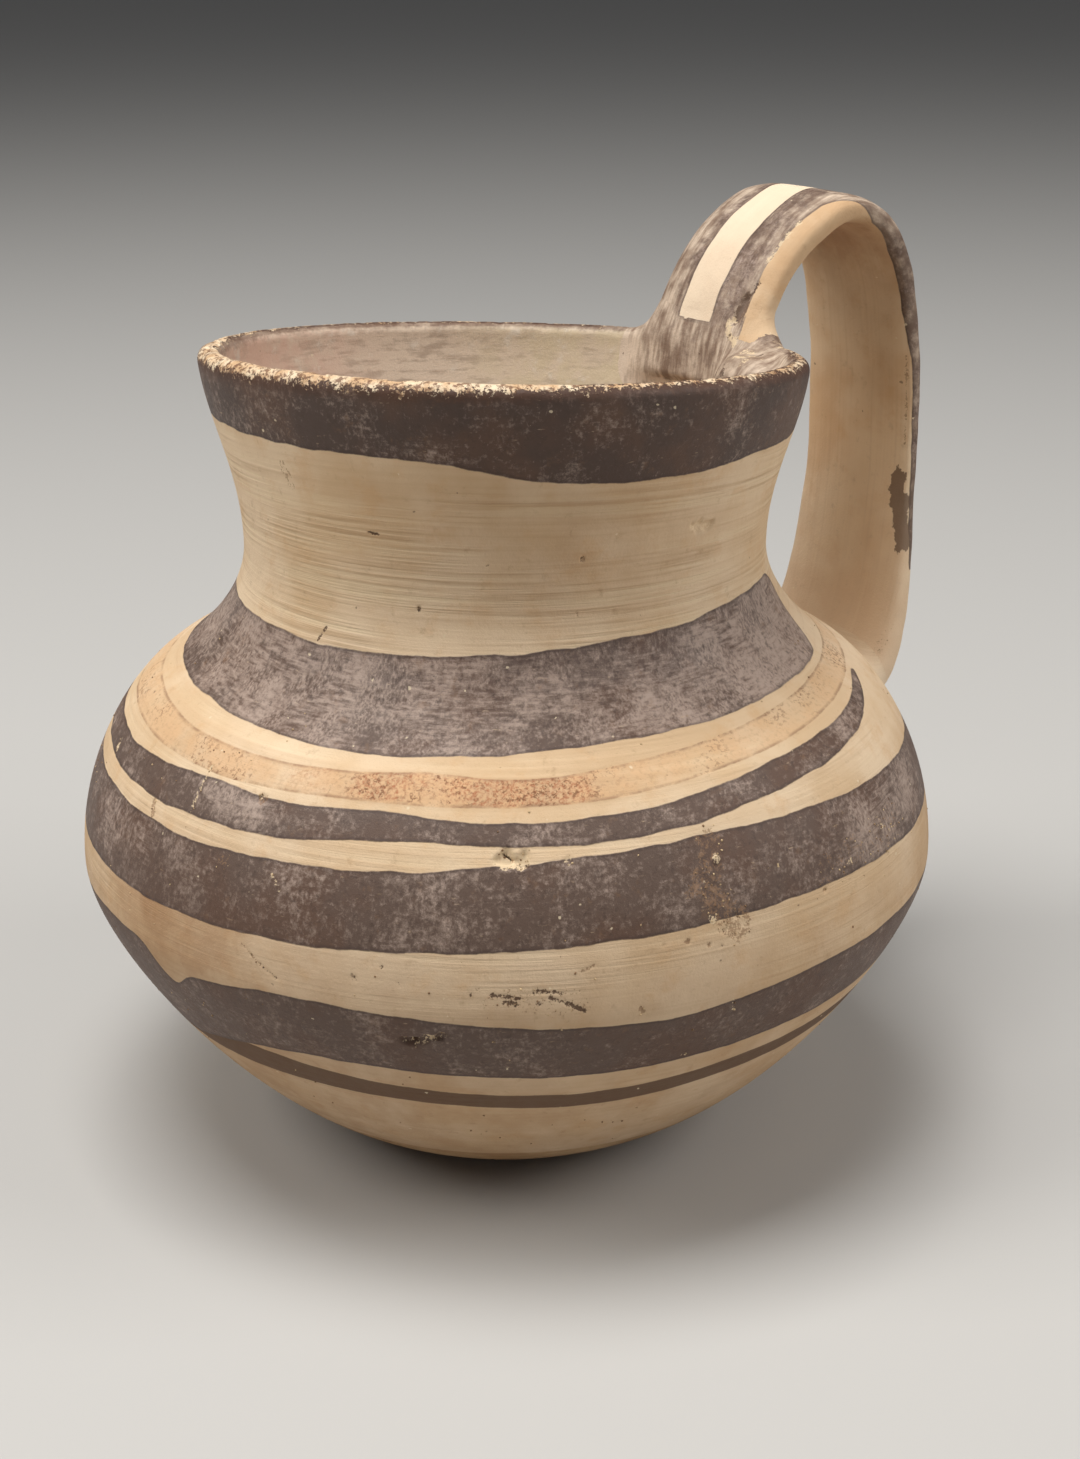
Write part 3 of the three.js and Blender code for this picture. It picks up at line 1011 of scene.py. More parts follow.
def rim_wear(mesh, places):
    """How far the crest is worn down: chips and dips, deepest on the worn side."""
    angle = np.degrees(np.arctan2(places[:, 1], places[:, 0]))
    crest_distance = np.abs(read_values(mesh, "crest"))
    near = crest_distance < rim_wear_reach
    worn = least_worn + (1 - least_worn) * turn_bell(angle[near], worn_side, worn_side_width)
    press = np.zeros(len(places))
    nicks = value_noise(places[near], 2.2) + 0.6 * value_noise(places[near], 0.9, 5.0)
    slow = value_noise(places[near], 9.0, 11.0)
    bite = smooth_share(nicks, 0.05, 0.75) + 0.5 * slow
    fade = 1 - smooth_share(crest_distance[near], rim_wear_full, rim_wear_reach)
    press[near] = -rim_wear_depth * bite * fade * worn
    return press


print("the rim is worn down by up to", rim_wear_depth, "mm, and more in its chips")

# %% [markdown]
# ## Finishing the courses
#
# Each course is turned, divided finer round its marks, painted, and pressed in along its
# normals. Corners sharper than a seam's stay sharp in shading, so the wall looks smooth
# and each course still meets the next on a flat seam.

# %% Finishing the courses
seam_corner = 36
fine_mark_width, fine_margin = 1.3, 0.6


def triangle_count(mesh):
    return sum(len(face.vertices) - 2 for face in mesh.polygons)


def finish_course(name, low, high):
    piece = turn_course(name, low, high)
    mesh = piece.data
    face_outward(mesh)
    places, angle, along, radius = wall_coordinates(mesh)
    near = np.zeros(len(places), bool)
    for mark in wall_marks:
        if mark.depth or mark.width < fine_mark_width:
            distance = mark_distance(mark, angle, along, radius)
            near |= (along < crest_along) & (distance < mark.width * fine_reach + fine_margin)
    if near.any():
        divide_near(mesh, near)
    places, press = store_wall_paint(mesh, wall_marks)
    normals = vertex_normals(mesh)
    if high >= rim_height:
        press += rim_wear(mesh, places)
    move_vertices(mesh, places + normals * press[:, None])
    mesh.set_sharp_from_angle(angle=math.radians(seam_corner))
    print(name, "vertices", len(mesh.vertices), "triangles", triangle_count(mesh))
    return piece


course_seams = {
    "base_dish": (0, dish_seam),
    "lower_wall": (dish_seam, belly_seam),
    "shoulder_wall": (belly_seam, collar_seam),
    "neck_collar": (collar_seam, lip_seam),
    "flared_lip": (lip_seam, rim_height),
}
courses = {name: finish_course(name + "_clay", *seams) for name, seams in course_seams.items()}

# %% [markdown]
# ## The strap handle
#
# The strap is a flat roll of clay with soft edges. It is lofted: one rounded section is
# carried along a smooth route in the X-Z plane, turned square to it, and made a little
# wider where the strap is pressed on. A loft in plain code is chosen here over a tree,
# because each vertex also needs its place on the painted back: `q` is the distance from
# the middle of the back, round the section, with the near edge positive.

# %% The strap handle
strap_route = [
    (-6.16, 138.95), (-5.3, 145.85), (-2.8, 153.05), (2.8, 161.25), (9.8, 167.05), (18.8, 170.45),
    (28.2, 167.45), (35.1, 157.45), (38.4, 141.95), (39.8, 123.84), (39.4, 106.71), (38.1, 93),
    (35.8, 82), (31.36, 73.3), (22.1, 66.7),
]
strap_width, strap_thickness = 30, 6.3
mouth_root_width, mouth_root_length = 31.5, 20
belly_root_width, belly_root_thickness, belly_root_length = 37, 9.5, 57
edge_squareness = 3.2
strap_rings, strap_sides, section_samples = 250, 112, 1601
brush_turn_share = 3


def centripetal_curve(points, samples):
    """A smooth curve through points whose spacing follows the root of their distance."""
    points = np.array(points, float)
    points = np.vstack((2 * points[0] - points[1], points, 2 * points[-1] - points[-2]))
    pieces = []
    for p0, p1, p2, p3 in zip(points, points[1:], points[2:], points[3:]):
        d0, d1, d2 = (math.sqrt(np.linalg.norm(b - a)) for a, b in ((p0, p1), (p1, p2), (p2, p3)))
        start = ((p1 - p0) / d0 - (p2 - p0) / (d0 + d1) + (p2 - p1) / d1) * d1
        end = ((p2 - p1) / d1 - (p3 - p1) / (d1 + d2) + (p3 - p2) / d2) * d1
        t = np.linspace(0, 1, samples, endpoint=False)[:, None]
        pieces.append(
            p1 * (2 * t**3 - 3 * t**2 + 1) + start * (t**3 - 2 * t**2 + t)
            + p2 * (3 * t**2 - 2 * t**3) + end * (t**3 - t**2)
        )
    return np.vstack(pieces + [points[-2]])


route = centripetal_curve([(lip_radius + past_lip, height) for past_lip, height in strap_route], 60)
route_along = walked(route)
strap_length = route_along[-1]
route_slope = np.gradient(route, route_along, axis=0)
route_slope /= np.linalg.norm(route_slope, axis=1)[:, None]
print("strap length in mm:", round(strap_length, 1))


def section(width, thickness, sides):
    """An even walk round a soft-edged section: across, depth and the distance q."""
    turn = np.linspace(-math.pi / 2, -math.pi / 2 - math.tau, section_samples)
    power = 2 / edge_squareness
    across = width / 2 * np.sign(np.cos(turn)) * np.abs(np.cos(turn)) ** power
    depth = thickness / 2 * np.sign(np.sin(turn)) * np.abs(np.sin(turn)) ** power
    way = np.insert(np.cumsum(np.hypot(np.diff(across), np.diff(depth))), 0, 0)
    stops = np.linspace(0, way[-1], sides, endpoint=False)
    q = np.where(stops <= way[-1] / 2, stops, stops - way[-1])
    return np.interp(stops, way, across), np.interp(stops, way, depth), q


def loft_strap():
    places, q_values, s_values, brush = [], [], [], []
    for s in np.linspace(0, strap_length, strap_rings):
        x, z = (np.interp(s, route_along, route[:, axis]) for axis in (0, 1))
        dx, dz = (np.interp(s, route_along, route_slope[:, axis]) for axis in (0, 1))
        mouth = 1 - smooth_share(s, 0, mouth_root_length)
        belly = smooth_share(s, strap_length - belly_root_length, strap_length)
        width = strap_width + mouth * (mouth_root_width - strap_width)
        width += belly * (belly_root_width - strap_width)
        thickness = strap_thickness + belly * (belly_root_thickness - strap_thickness)
        across, depth, q = section(width, thickness, strap_sides)
        loop_side = np.array((dz, -dx))
        places.append(
            np.stack((x + loop_side[0] * depth, across, z + loop_side[1] * depth), axis=1)
        )
        q_values.append(q)
        s_values.append(np.full(strap_sides, s))
        brush.append(np.stack((s_values[-1], depth * brush_turn_share, across), axis=1))
    return np.vstack(places), np.concatenate(q_values), np.concatenate(s_values), np.vstack(brush)


def ring_faces(rings, sides):
    faces = []
    for ring in range(rings - 1):
        for side in range(sides):
            following = (side + 1) % sides
            a, b = ring * sides + side, ring * sides + following
            faces.append((a, b, b + sides, a + sides))
    faces.append(tuple(range(sides))[::-1])
    faces.append(tuple(range((rings - 1) * sides, rings * sides)))
    return faces


strap_places, strap_q, strap_s, strap_brush = loft_strap()

# %% [markdown]
# ## Paint on the strap
#
# The back of the strap carries a cream stripe between two dark ones. The stripe starts
# with a straight cut just over the rim. The dark paint on the near side laps over the
# edge beyond the arch, and it is thin and streaky below the stripe's end, where hands
# and centuries have rubbed it.

# %% Paint on the strap
stripe_start = 10.3
stripe_far, stripe_near = -6.4, 2.6
paint_end_gap = 34
near_edge_q = [
    (0, 24), (6, 24), (8.5, 12), (12, 11.5), (30, 11), (38, 12), (44, 14.5), (50, 18.5), (60, 19.5),
    (74, 19.3), (84, 17.6), (163, 16.6),
]
far_edge_q = [(0, -18), (20, -15.5), (60, -15), (163, -16)]


def at_s(line, s):
    """A value that is given at a few places along the strap, read at s."""
    return np.interp(s, *np.array(line).T)


def strap_paint(q, s):
    near_edge, far_edge = at_s(near_edge_q, s), at_s(far_edge_q, s)
    whole = np.minimum(near_edge - q, q - far_edge)
    stripe = np.minimum(np.minimum(q - stripe_far, stripe_near - q), s - stripe_start)
    paint = np.minimum(whole, -stripe)
    return np.minimum(paint, strap_length - paint_end_gap - s)


print("width of the cream stripe in mm:", stripe_near - stripe_far)

# %% [markdown]
# ## Wear and marks on the strap
#
# Its marks are written as the wall's are, but as places (q, s): q round the section and s
# along the strap. How worn, how dusty and how pale its clay is changes along it, so each
# is a short line of (s, amount). The pale clay is slip that no hand has darkened in the
# stripe, and painted light low inside the loop, where the face is made paler towards the
# strap's lower end as if more light fell on it.

# %% Wear and marks on the strap
strap_marks = [
    # the first mark is a pit; its dark tint is painted shade in the hollow
    Mark((9.2, 11.5), (10.2, 15.5), 1.4, 0.9, "soot", 0.9),
    Mark((11.4, 19.0), (10.4, 15.5), 0.6, 0.3, "scorch", 0.6),
    Mark((9.2, 11.5), (8.9, 6.5), 0.6, 0.4, "scorch", 0.6),
    Mark((8.2, 11.2), (8.8, 9.0), 0.7, -0.15, "chalk", 0.8),
    Mark((8.8, 9.0), (11.4, 7.8), 0.8, -0.15, "chalk", 0.8),
    Mark((10.8, 23.0), (11.4, 33.0), 0.6, 0.25, "chalk", 0.6),
    Mark((19.8, 110.0), (20.0, 115.0), 1.9, 0.1, "soot", 1.5),
    Mark((19.6, 115.0), (18.9, 123.5), 2.2, 0.1, "soot", 1.5),
    Mark((18.6, 84.0), (18.9, 102.0), 0.5, 0.1, "stain", 0.6),
    Mark((22.0, 142.0), (24.0, 149.0), 1.2, 0.0, "stain", 0.25),
]
strap_wear = [(0, 0.74), (8, 0.7), (13, 0.55), (20, 0.42), (46, 0.44), (60, 0.42), (163, 0.36)]
strap_dust = [(0, 0.4), (44, 0.4), (60, 0.3), (163, 0.24)]
# painted light: the loop's face is made paler towards the strap's lower end
loop_painted_light = [(0, 0), (100, 0.05), (135, 0.5), (163, 0.6)]
back_half_width, back_fresh = 10, 0.85
# where the painted shade under the arch is deepest, and how far along the strap it reaches
arch_middle, arch_reach = 47, 22
strap_mark_full, strap_pit_full = 0.35, 0.6
never_crest = -30.0
strap_corner = 60


def strap_wear_earth_and_shade(q, s):
    """Wear on the edges before the arch's end; under the arch, painted shade given as earth, with some real
    browner tone; and earth where hands held it.
    """
    side = np.abs(q)
    edge_wear = 0.34 * smooth_share(side, 7, 12) * (1 - smooth_share(s, 48, 62))
    # painted shade: the loop's inner face under the arch is browned for the shade there, partly a real
    # browner tone
    under_arch_shade = smooth_share(side, 16, 22) * bell(s, arch_middle, arch_reach)
    handled = 0.22 * smooth_share(side, 10, 14) * (1 - smooth_share(s, 45, 60))
    return at_s(strap_wear, s) + edge_wear, np.maximum(under_arch_shade, handled)


def dress_strap():
    mesh = bpy.data.meshes.new("strap_handle_clay")
    corners = [Vector(place) * MM for place in strap_places]
    mesh.from_pydata(corners, [], ring_faces(strap_rings, strap_sides))
    mesh.shade_smooth()
    face_outward(mesh)
    q, s = strap_q, strap_s
    count = len(q)
    store_values(mesh, "paint", np.clip(strap_paint(q, s), far_outside, far_inside))
    store_values(mesh, "blush", np.full(count, far_outside))
    store_values(mesh, "line", np.full(count, far_outside))
    store_values(mesh, "crest", np.full(count, never_crest))
    store_values(mesh, "along", s)
    store_brush(mesh, strap_brush)
    worn, earth = strap_wear_earth_and_shade(q, s)
    store_values(mesh, "worn", worn)
    store_values(mesh, "dust", at_s(strap_dust, s))
    # on the strap, earth also carries the painted shade under the arch
    store_values(mesh, "earth", earth)
    # pale slip on the back stripe, and painted light lower down the loop
    fresh = np.where(np.abs(q) < back_half_width, back_fresh, at_s(loop_painted_light, s))
    store_values(mesh, "fresh", fresh)
    tints = {tint: np.zeros(count) for tint in tint_names}
    press = 0.35 * value_noise(strap_places, 16.0, 3.0) + 0.12 * value_noise(strap_places, 5.0, 8.0)
    half_round = np.max(q)
    q_near = np.where(q < -half_round / 2, q + 2 * half_round, q)
    for mark in strap_marks:
        reach = np.array(mark.end) - np.array(mark.start)
        offset = np.stack((q_near - mark.start[0], s - mark.start[1]), axis=1)
        share = np.clip(offset @ reach / max(reach @ reach, 1e-9), 0, 1)
        distance = np.linalg.norm(offset - share[:, None] * reach, axis=1)
        near = np.nonzero(distance < mark.width * fine_reach)[0]
        wobble = value_noise(strap_places[near], 0.8 + mark.width * 0.5, mark.start[1])
        inside = 1 - (distance[near] / mark.width + speck_wobble * wobble)
        mask = smooth_share(inside, mark_edge, strap_mark_full)
        tints[mark.tint][near] = np.maximum(tints[mark.tint][near], mask * mark.strength)
        press[near] -= mark.depth * smooth_share(inside, 0.0, strap_pit_full)
    for tint, values in tints.items():
        store_values(mesh, tint, values)
    move_vertices(mesh, strap_places + vertex_normals(mesh) * press[:, None])
    mesh.set_sharp_from_angle(angle=math.radians(strap_corner))
    print("strap vertices", len(mesh.vertices))
    return link_piece("strap_handle_clay", mesh)


strap = dress_strap()

# %% [markdown]
# ## Luting clay as blended distance fields
#
# Where the strap meets the wall, a maker smears wet clay into the corner. That shape is
# hard to loft, but it has a simple rule: take the distance to the strap and the distance
# to the wall, and blend the two where both are small. Three fields say it: the distance
# to a closed mesh, the blend of two distances, and the distance to a pad of clay.

# %% Luting clay as blended distance fields
def signed_distance(tree, solid, place):
    """Distance to a closed mesh, negative inside it, as a field."""
    near = put(tree, "GeometryNodeProximity", {0: solid}, target_element="FACES").outputs
    normal = put(tree, "GeometryNodeInputNormal").outputs["Normal"]
    sample = put(tree, "GeometryNodeSampleNearestSurface", {"Mesh": solid}, data_type="FLOAT_VECTOR")
    fill(tree, sample.inputs["Value"], normal)
    away = vector_node(tree, "SUBTRACT", place, near["Position"])
    side = math_node(tree, "SIGN", vector_node(tree, "DOT_PRODUCT", away, sample.outputs["Value"]))
    return times(tree, near["Distance"], side)


def blend_forms(tree, first, second, reach):
    """The lesser of two distances, swollen where the two are nearly alike."""
    apart = math_node(tree, "ABSOLUTE", math_node(tree, "SUBTRACT", first, second))
    alike = math_node(tree, "SUBTRACT", 1.0, math_node(tree, "DIVIDE", apart, reach))
    close = math_node(tree, "MAXIMUM", alike, 0.0)
    swell = times(tree, close, close, reach, 0.25)
    return math_node(tree, "SUBTRACT", math_node(tree, "MINIMUM", first, second), swell)


def combined(tree, **parts):
    return put(tree, "ShaderNodeCombineXYZ", parts).outputs["Vector"]


def pad_distance(tree, given, place):
    """Rough distance to an egg of clay beside the strap, inside the wall and under a lid."""
    tilt = vector_node(tree, "DOT_PRODUCT", place, given["Lean"])
    parts = put(tree, "ShaderNodeSeparateXYZ", {"Vector": place}).outputs
    upright = math_node(tree, "SUBTRACT", parts["Z"], tilt)
    raised = combined(tree, X=parts["X"], Y=parts["Y"], Z=upright)
    turned = put(tree, "ShaderNodeVectorRotate", {"Vector": raised}, rotation_type="Z_AXIS")
    fill(tree, turned.inputs["Angle"], times(tree, given["Pad Turn"], -1.0))
    offset = vector_node(tree, "SUBTRACT", turned.outputs["Vector"], given["Pad Centre"])
    size = vector_node(tree, "LENGTH", vector_node(tree, "DIVIDE", offset, given["Pad Half"]))
    least = put(tree, "ShaderNodeSeparateXYZ", {"Vector": given["Pad Half"]}).outputs["X"]
    egg = times(tree, math_node(tree, "SUBTRACT", size, 1.0), least)
    flat = combined(tree, X=parts["X"], Y=parts["Y"])
    beyond = math_node(tree, "SUBTRACT", vector_node(tree, "LENGTH", flat), given["Pad Reach"])
    above = math_node(tree, "SUBTRACT", upright, given["Pad Lid"])
    return math_node(tree, "MAXIMUM", egg, math_node(tree, "MAXIMUM", beyond, above))


print("the blend swells by at most a quarter of its reach")

# %% [markdown]
# ## The luting tree
#
# The tree works in a box round a root. It fills a volume with the blended distance, takes
# the surface where it is zero as a mesh, and keeps it a hair inside the strap and the
# wall, so that only the smeared corner shows. An egg inside the box keeps the smear from
# reaching the box's sides.

# %% The luting tree
half_way = (0.5, 0.5, 0.5)


def luting_tree():
    tree, given, made = new_tree(
        "luting_clay",
        "GeometryNodeTree",
        [
            ("Strap", "Object"),
            ("Wall", "Object"),
            ("Box Low", "Vector"),
            ("Box High", "Vector"),
            ("Blend", "Float"),
            ("Inset", "Float"),
            ("Round", "Float"),
            ("Pad Turn", "Float"),
            ("Pad Centre", "Vector"),
            ("Pad Half", "Vector"),
            ("Pad Reach", "Float"),
            ("Pad Lid", "Float"),
            ("Lean", "Vector"),
            ("Cells X", "Int"),
            ("Cells Y", "Int"),
            ("Cells Z", "Int"),
            ("Voxel", "Float"),
            ("Clay", "Material"),
        ],
        [("Luting", "Geometry")],
    )
    place = put(tree, "GeometryNodeInputPosition").outputs["Position"]
    distances = []
    for label in ("Strap", "Wall"):
        form = put(tree, "GeometryNodeObjectInfo", {"Object": given[label]}).outputs["Geometry"]
        distances.append(signed_distance(tree, form, place))
    corner = blend_forms(tree, *distances, given["Blend"])
    pad_away = pad_distance(tree, given, place)
    blended = blend_forms(tree, corner, pad_away, times(tree, given["Blend"], 0.5))
    low, high = given["Box Low"], given["Box High"]
    centre = vector_node(tree, "MULTIPLY", vector_node(tree, "ADD", low, high), half_way)
    reach = vector_node(tree, "MULTIPLY", vector_node(tree, "SUBTRACT", high, low), half_way)
    shares = vector_node(tree, "DIVIDE", vector_node(tree, "SUBTRACT", place, centre), reach)
    past_egg = math_node(tree, "SUBTRACT", vector_node(tree, "LENGTH", shares), given["Round"])
    egg = times(tree, past_egg, vector_node(tree, "LENGTH", reach))
    kept = math_node(tree, "MAXIMUM", plus(tree, blended, given["Inset"]), egg)
    volume = put(
        tree,
        "GeometryNodeVolumeCube",
        {
            "Density": times(tree, kept, -1.0),
            "Background": -1.0,
            "Min": low,
            "Max": high,
            "Resolution X": given["Cells X"],
            "Resolution Y": given["Cells Y"],
            "Resolution Z": given["Cells Z"],
        },
    )
    skin = put(
        tree,
        "GeometryNodeVolumeToMesh",
        {"Volume": volume.outputs["Volume"], "Threshold": 0.0, "Adaptivity": 0.0},
    )
    close_tree(tree, skin.outputs["Mesh"], given["Clay"], made["Luting"])
    return tree


luting_nodes = luting_tree()
print("luting tree:", len(luting_nodes.nodes), "nodes")

# %% [markdown]
# ## The two lutings
#
# One tree makes both, with other sizes. The upper one also has a pad: a thumb's width of
# clay that fills the corner between the strap's near edge and the inside of the mouth.

# %% The two lutings
pad_turn, pad_half = -25, (6.4, 12, 8.5)
pad_inset, pad_drop = 8.4, 8.8
pad_reach = lip_radius - lip_wall / 2
pad_lid = rim_height - 1.2
pad_middle = (*polar(lip_radius - pad_inset, pad_turn), rim_height - pad_drop)
no_pad = (1, 1, 1)
luting_inset = 0.06
box_round = 1.0


def lute(name, wall, low, high, blend, voxel, pad):
    mesh = bpy.data.meshes.new(name)
    piece = link_piece(name, mesh)
    modifier = piece.modifiers.new("luting_clay", "NODES")
    modifier.node_group = luting_nodes
    cells = [int((b - a) / voxel) for a, b in zip(low, high)]
    set_inputs(
        modifier,
        {
            "Strap": strap,
            "Wall": wall,
            "Box Low": [value * MM for value in low],
            "Box High": [value * MM for value in high],
            "Blend": blend * MM,
            "Inset": luting_inset * MM,
            "Round": box_round,
            "Pad Turn": math.radians(pad_turn),
            "Pad Centre": [(lip_radius - pad_inset) * MM, 0.0, (rim_height - pad_drop) * MM],
            "Pad Half": [value * MM for value in pad],
            "Pad Reach": pad_reach * MM,
            "Pad Lid": pad_lid * MM,
            "Lean": [lean_along_x / lip_radius, lean_along_y / lip_radius, 0.0],
            "Cells X": cells[0],
            "Cells Y": cells[1],
            "Cells Z": cells[2],
        },
    )
    bake_modifier(piece)
    face_outward(piece.data)
    print(name, "vertices", len(piece.data.vertices), "cells", cells)
    return piece


belly_luting = lute(
    "belly_luting_clay",
    courses["shoulder_wall"],
    low=(62, -30, 54),
    high=(104, 30, 102),
    blend=11,
    voxel=0.55,
    pad=no_pad,
)
mouth_luting = lute(
    "mouth_luting_clay",
    courses["flared_lip"],
    low=(28, -36, 126),
    high=(68, 36, 168),
    blend=8,
    voxel=0.5,
    pad=pad_half,
)

# %% [markdown]
# ## Paint on the luting
#
# The smeared clay has no outline of its own to be painted by, so each of its vertices
# looks up the nearest vertex of the wall or of the strap and takes that one's paint. The
# pad was smeared round with a thumb: there the brush's way is bent about the pad's own
# middle, the paint is less worn, and it is chipped and cracked.

# %% Paint on the luting
carried = ("paint", "blush", "line", "crest", "along", "worn", "dust", "fresh", "earth", *tint_names)
pad_mask_width, pad_mask_low, pad_mask_full, pad_mask_top = 9, 130, 142, rim_height + 2
pad_less_worn, pad_chips, pad_cracks = 0.45, 0.7, 0.6
pad_bend = (1.3, 1.3, -0.75)


def nearest_values(points, *sources):
    tree = KDTree(sum(len(source.data.vertices) for source in sources))
    values = {name: [] for name in carried}
    index = 0
    for source in sources:
        for name in carried:
            values[name].append(read_values(source.data, name))
        for vertex in source.data.vertices:
            tree.insert(vertex.co, index)
            index += 1
    tree.balance()
    found = np.array([tree.find(Vector(point) * MM)[1] for point in points])
    return {name: np.concatenate(parts)[found] for name, parts in values.items()}


def paint_luting(piece, brush_axes, *sources):
    mesh = piece.data
    places = vertex_places(mesh)
    for name, values in nearest_values(places, *sources).items():
        store_values(mesh, name, values)
    turn, height = np.degrees(np.arctan2(places[:, 1], places[:, 0])), places[:, 2]
    pad = bell(turn, pad_turn, pad_mask_width) * smooth_share(height, pad_mask_low, pad_mask_full)
    pad = pad * (height < pad_mask_top)
    store_values(mesh, "worn", read_values(mesh, "worn") * (1 - pad_less_worn * pad))
    chips = smooth_share(value_noise(places, 2.4, 5.0), 0.05, 0.4)
    cracks = smooth_share(value_noise(places, 1.7, 9.0), 0.25, 0.5)
    store_values(mesh, "chalk", np.maximum(read_values(mesh, "chalk"), pad_chips * pad * chips))
    store_values(mesh, "scorch", np.maximum(read_values(mesh, "scorch"), pad_cracks * pad * cracks))
    from_middle = places[:, brush_axes] - np.array(pad_middle)[list(brush_axes)]
    store_brush(mesh, places[:, brush_axes] + pad[:, None] * from_middle * pad_bend)
    print(piece.name, "vertices on the pad:", int((pad > 0.5).sum()))


paint_luting(belly_luting, (0, 1, 2), courses["shoulder_wall"], strap)
paint_luting(mouth_luting, (2, 0, 1), courses["flared_lip"], strap)

# %% [markdown]
# ## Helpers for shader groups
#
# The finishes share their chemistry: a cream slip brushed over the clay, a grey-brown
# paint, brush edges, wear and specks. Each of these is a group that takes a place in
# millimetres and gives back a colour, a mask or a height. The groups never hold the
# surface shader, so a material stays easy to read: groups in, one Principled out. All
# are drawn from noise, so each helper names what a noise is for: `lumps`, `strokes` of a
# brush, `patches` with an edge, and a `swing` about zero. `tinted` lays a colour, 0 to
# 255, through as many masks as it is given.

# %% Helpers for shader groups
def colour_mix(tree, factor, first, second):
    node = put(tree, "ShaderNodeMix", data_type="RGBA")
    for index, value in zip((0, 6, 7), (factor, first, second)):
        fill(tree, node.inputs[index], value)
    return node.outputs[2]


def value_mix(tree, factor, first, second):
    node = put(tree, "ShaderNodeMix", data_type="FLOAT")
    for index, value in zip((0, 2, 3), (factor, first, second)):
        fill(tree, node.inputs[index], value)
    return node.outputs[0]


def lumps(tree, place, size, detail=2.0, roughness=0.55):
    """Noise with lumps about as wide as size, around 0.5."""
    return put(
        tree,
        "ShaderNodeTexNoise",
        {"Vector": place, "Scale": 1 / size, "Detail": detail, "Roughness": roughness},
    ).outputs["Fac"]


def strokes(tree, brush, length, width, detail=2.0):
    """Noise drawn out along the brush's way."""
    stretched = vector_node(tree, "MULTIPLY", brush, (1 / length, 1 / length, 1 / width))
    return lumps(tree, stretched, 1.0, detail)


def patches(tree, place, size, low, high, detail=2.0, roughness=0.55):
    """Lumps cut to patches: 0 where the noise is under low, and 1 where it is over high."""
    return ramp_up(tree, lumps(tree, place, size, detail, roughness), low, high)


def swing(tree, pattern, *amounts):
    """A pattern around 0.5, turned into one around zero."""
    return times(tree, math_node(tree, "SUBTRACT", pattern, 0.5), *amounts)


def tinted(tree, colour, tint, *masks):
    return colour_mix(tree, times(tree, *masks), colour, linear_colour(*tint))


def facing(tree, place, way):
    """1 on the side of the pot that looks the given way, and -1 on the far side."""
    flat = vector_node(tree, "NORMALIZE", vector_node(tree, "MULTIPLY", place, (1, 1, 0)))
    return vector_node(tree, "DOT_PRODUCT", flat, way)


print("kinds of noise:", [helper.__name__ for helper in (lumps, strokes, patches, swing)])

# %% [markdown]
# ## The slip
#
# The pot was first coated with slip, clay thinned to a cream, and wiped round with a soft
# brush. One flat cream would look like plastic, so the ground has three scales: slow
# changes of tone, streaks along the brush, and grime and earth in small patches. The
# streaks also give height, because bristles leave ridges.

# %% The slip
slip_film, slip_grime, slip_earth = (204, 162, 116), (150, 118, 84), (154, 113, 76)
streak_dark, streak_pale = (170, 138, 102), (232, 212, 176)


def slip_ground_group():
    tree, given, made = new_tree(
        "slip_ground",
        "ShaderNodeTree",
        [
            ("Place", "Vector"),
            ("Brush", "Vector"),
            ("Light", "Color"),
            ("Deep", "Color"),
            ("Streaks", "Float"),
            ("Earth", "Float"),
        ],
        [("Colour", "Color"), ("Height", "Float")],
    )
    place, brush, streaks = given["Place"], given["Brush"], given["Streaks"]
    slow = patches(tree, place, 24, 0.36, 0.66, 3)
    colour = colour_mix(tree, slow, given["Light"], given["Deep"])
    film = patches(tree, place, 7, 0.5, 0.74, 5, 0.65)
    colour = tinted(tree, colour, slip_film, film, 0.45)
    bunches = value_mix(tree, ramp_up(tree, strokes(tree, brush, 34, 6), 0.42, 0.58), 0.3, 1.0)
    fine = strokes(tree, brush, 40, 0.75, 3)
    dark, pale = ramp_up(tree, fine, 0.5, 0.68), ramp_up(tree, fine, 0.52, 0.36)
    colour = tinted(tree, colour, streak_dark, dark, bunches, streaks, 0.6)
    colour = tinted(tree, colour, streak_pale, pale, bunches, streaks, 0.5)
    grime = patches(tree, place, 2.4, 0.56, 0.76, 6, 0.7)
    colour = tinted(tree, colour, slip_grime, grime, 0.35)
    soaked = value_mix(tree, patches(tree, place, 9, 0.35, 0.65, 5, 0.65), 0.65, 1.0)
    colour = tinted(tree, colour, slip_earth, given["Earth"], soaked)
    ridges = swing(tree, fine, streaks, bunches, 0.6)
    grain = swing(tree, lumps(tree, place, 0.5, 4, 0.7), 0.09)
    soft = swing(tree, lumps(tree, place, 5, 2), 0.22)
    fill(tree, made["Colour"], colour)
    fill(tree, made["Height"], plus(tree, grain, soft, ridges))
    return tree


slip_nodes = slip_ground_group()
print("slip:", len(slip_nodes.nodes), "nodes")

# %% [markdown]
# ## The dark paint
#
# The bands are an iron-rich paint that fired grey-brown. Brown shows through it in
# patches, pale dust clings to it in crumbs and brush strokes, and where it was rubbed,
# only a thin wash is left. `dust` and `worn` say how much of each there is, and the noise
# says where, so that no band fades in a soft blur.

# %% The dark paint
paint_brown, paint_deep, paint_warm = (92, 67, 54), (66, 50, 44), (126, 94, 68)
paint_dust, wash_dark, wash_pale = (182, 161, 147), (128, 104, 86), (219, 198, 175)
upright_stroke = (2.1, 2.1, 0.36)


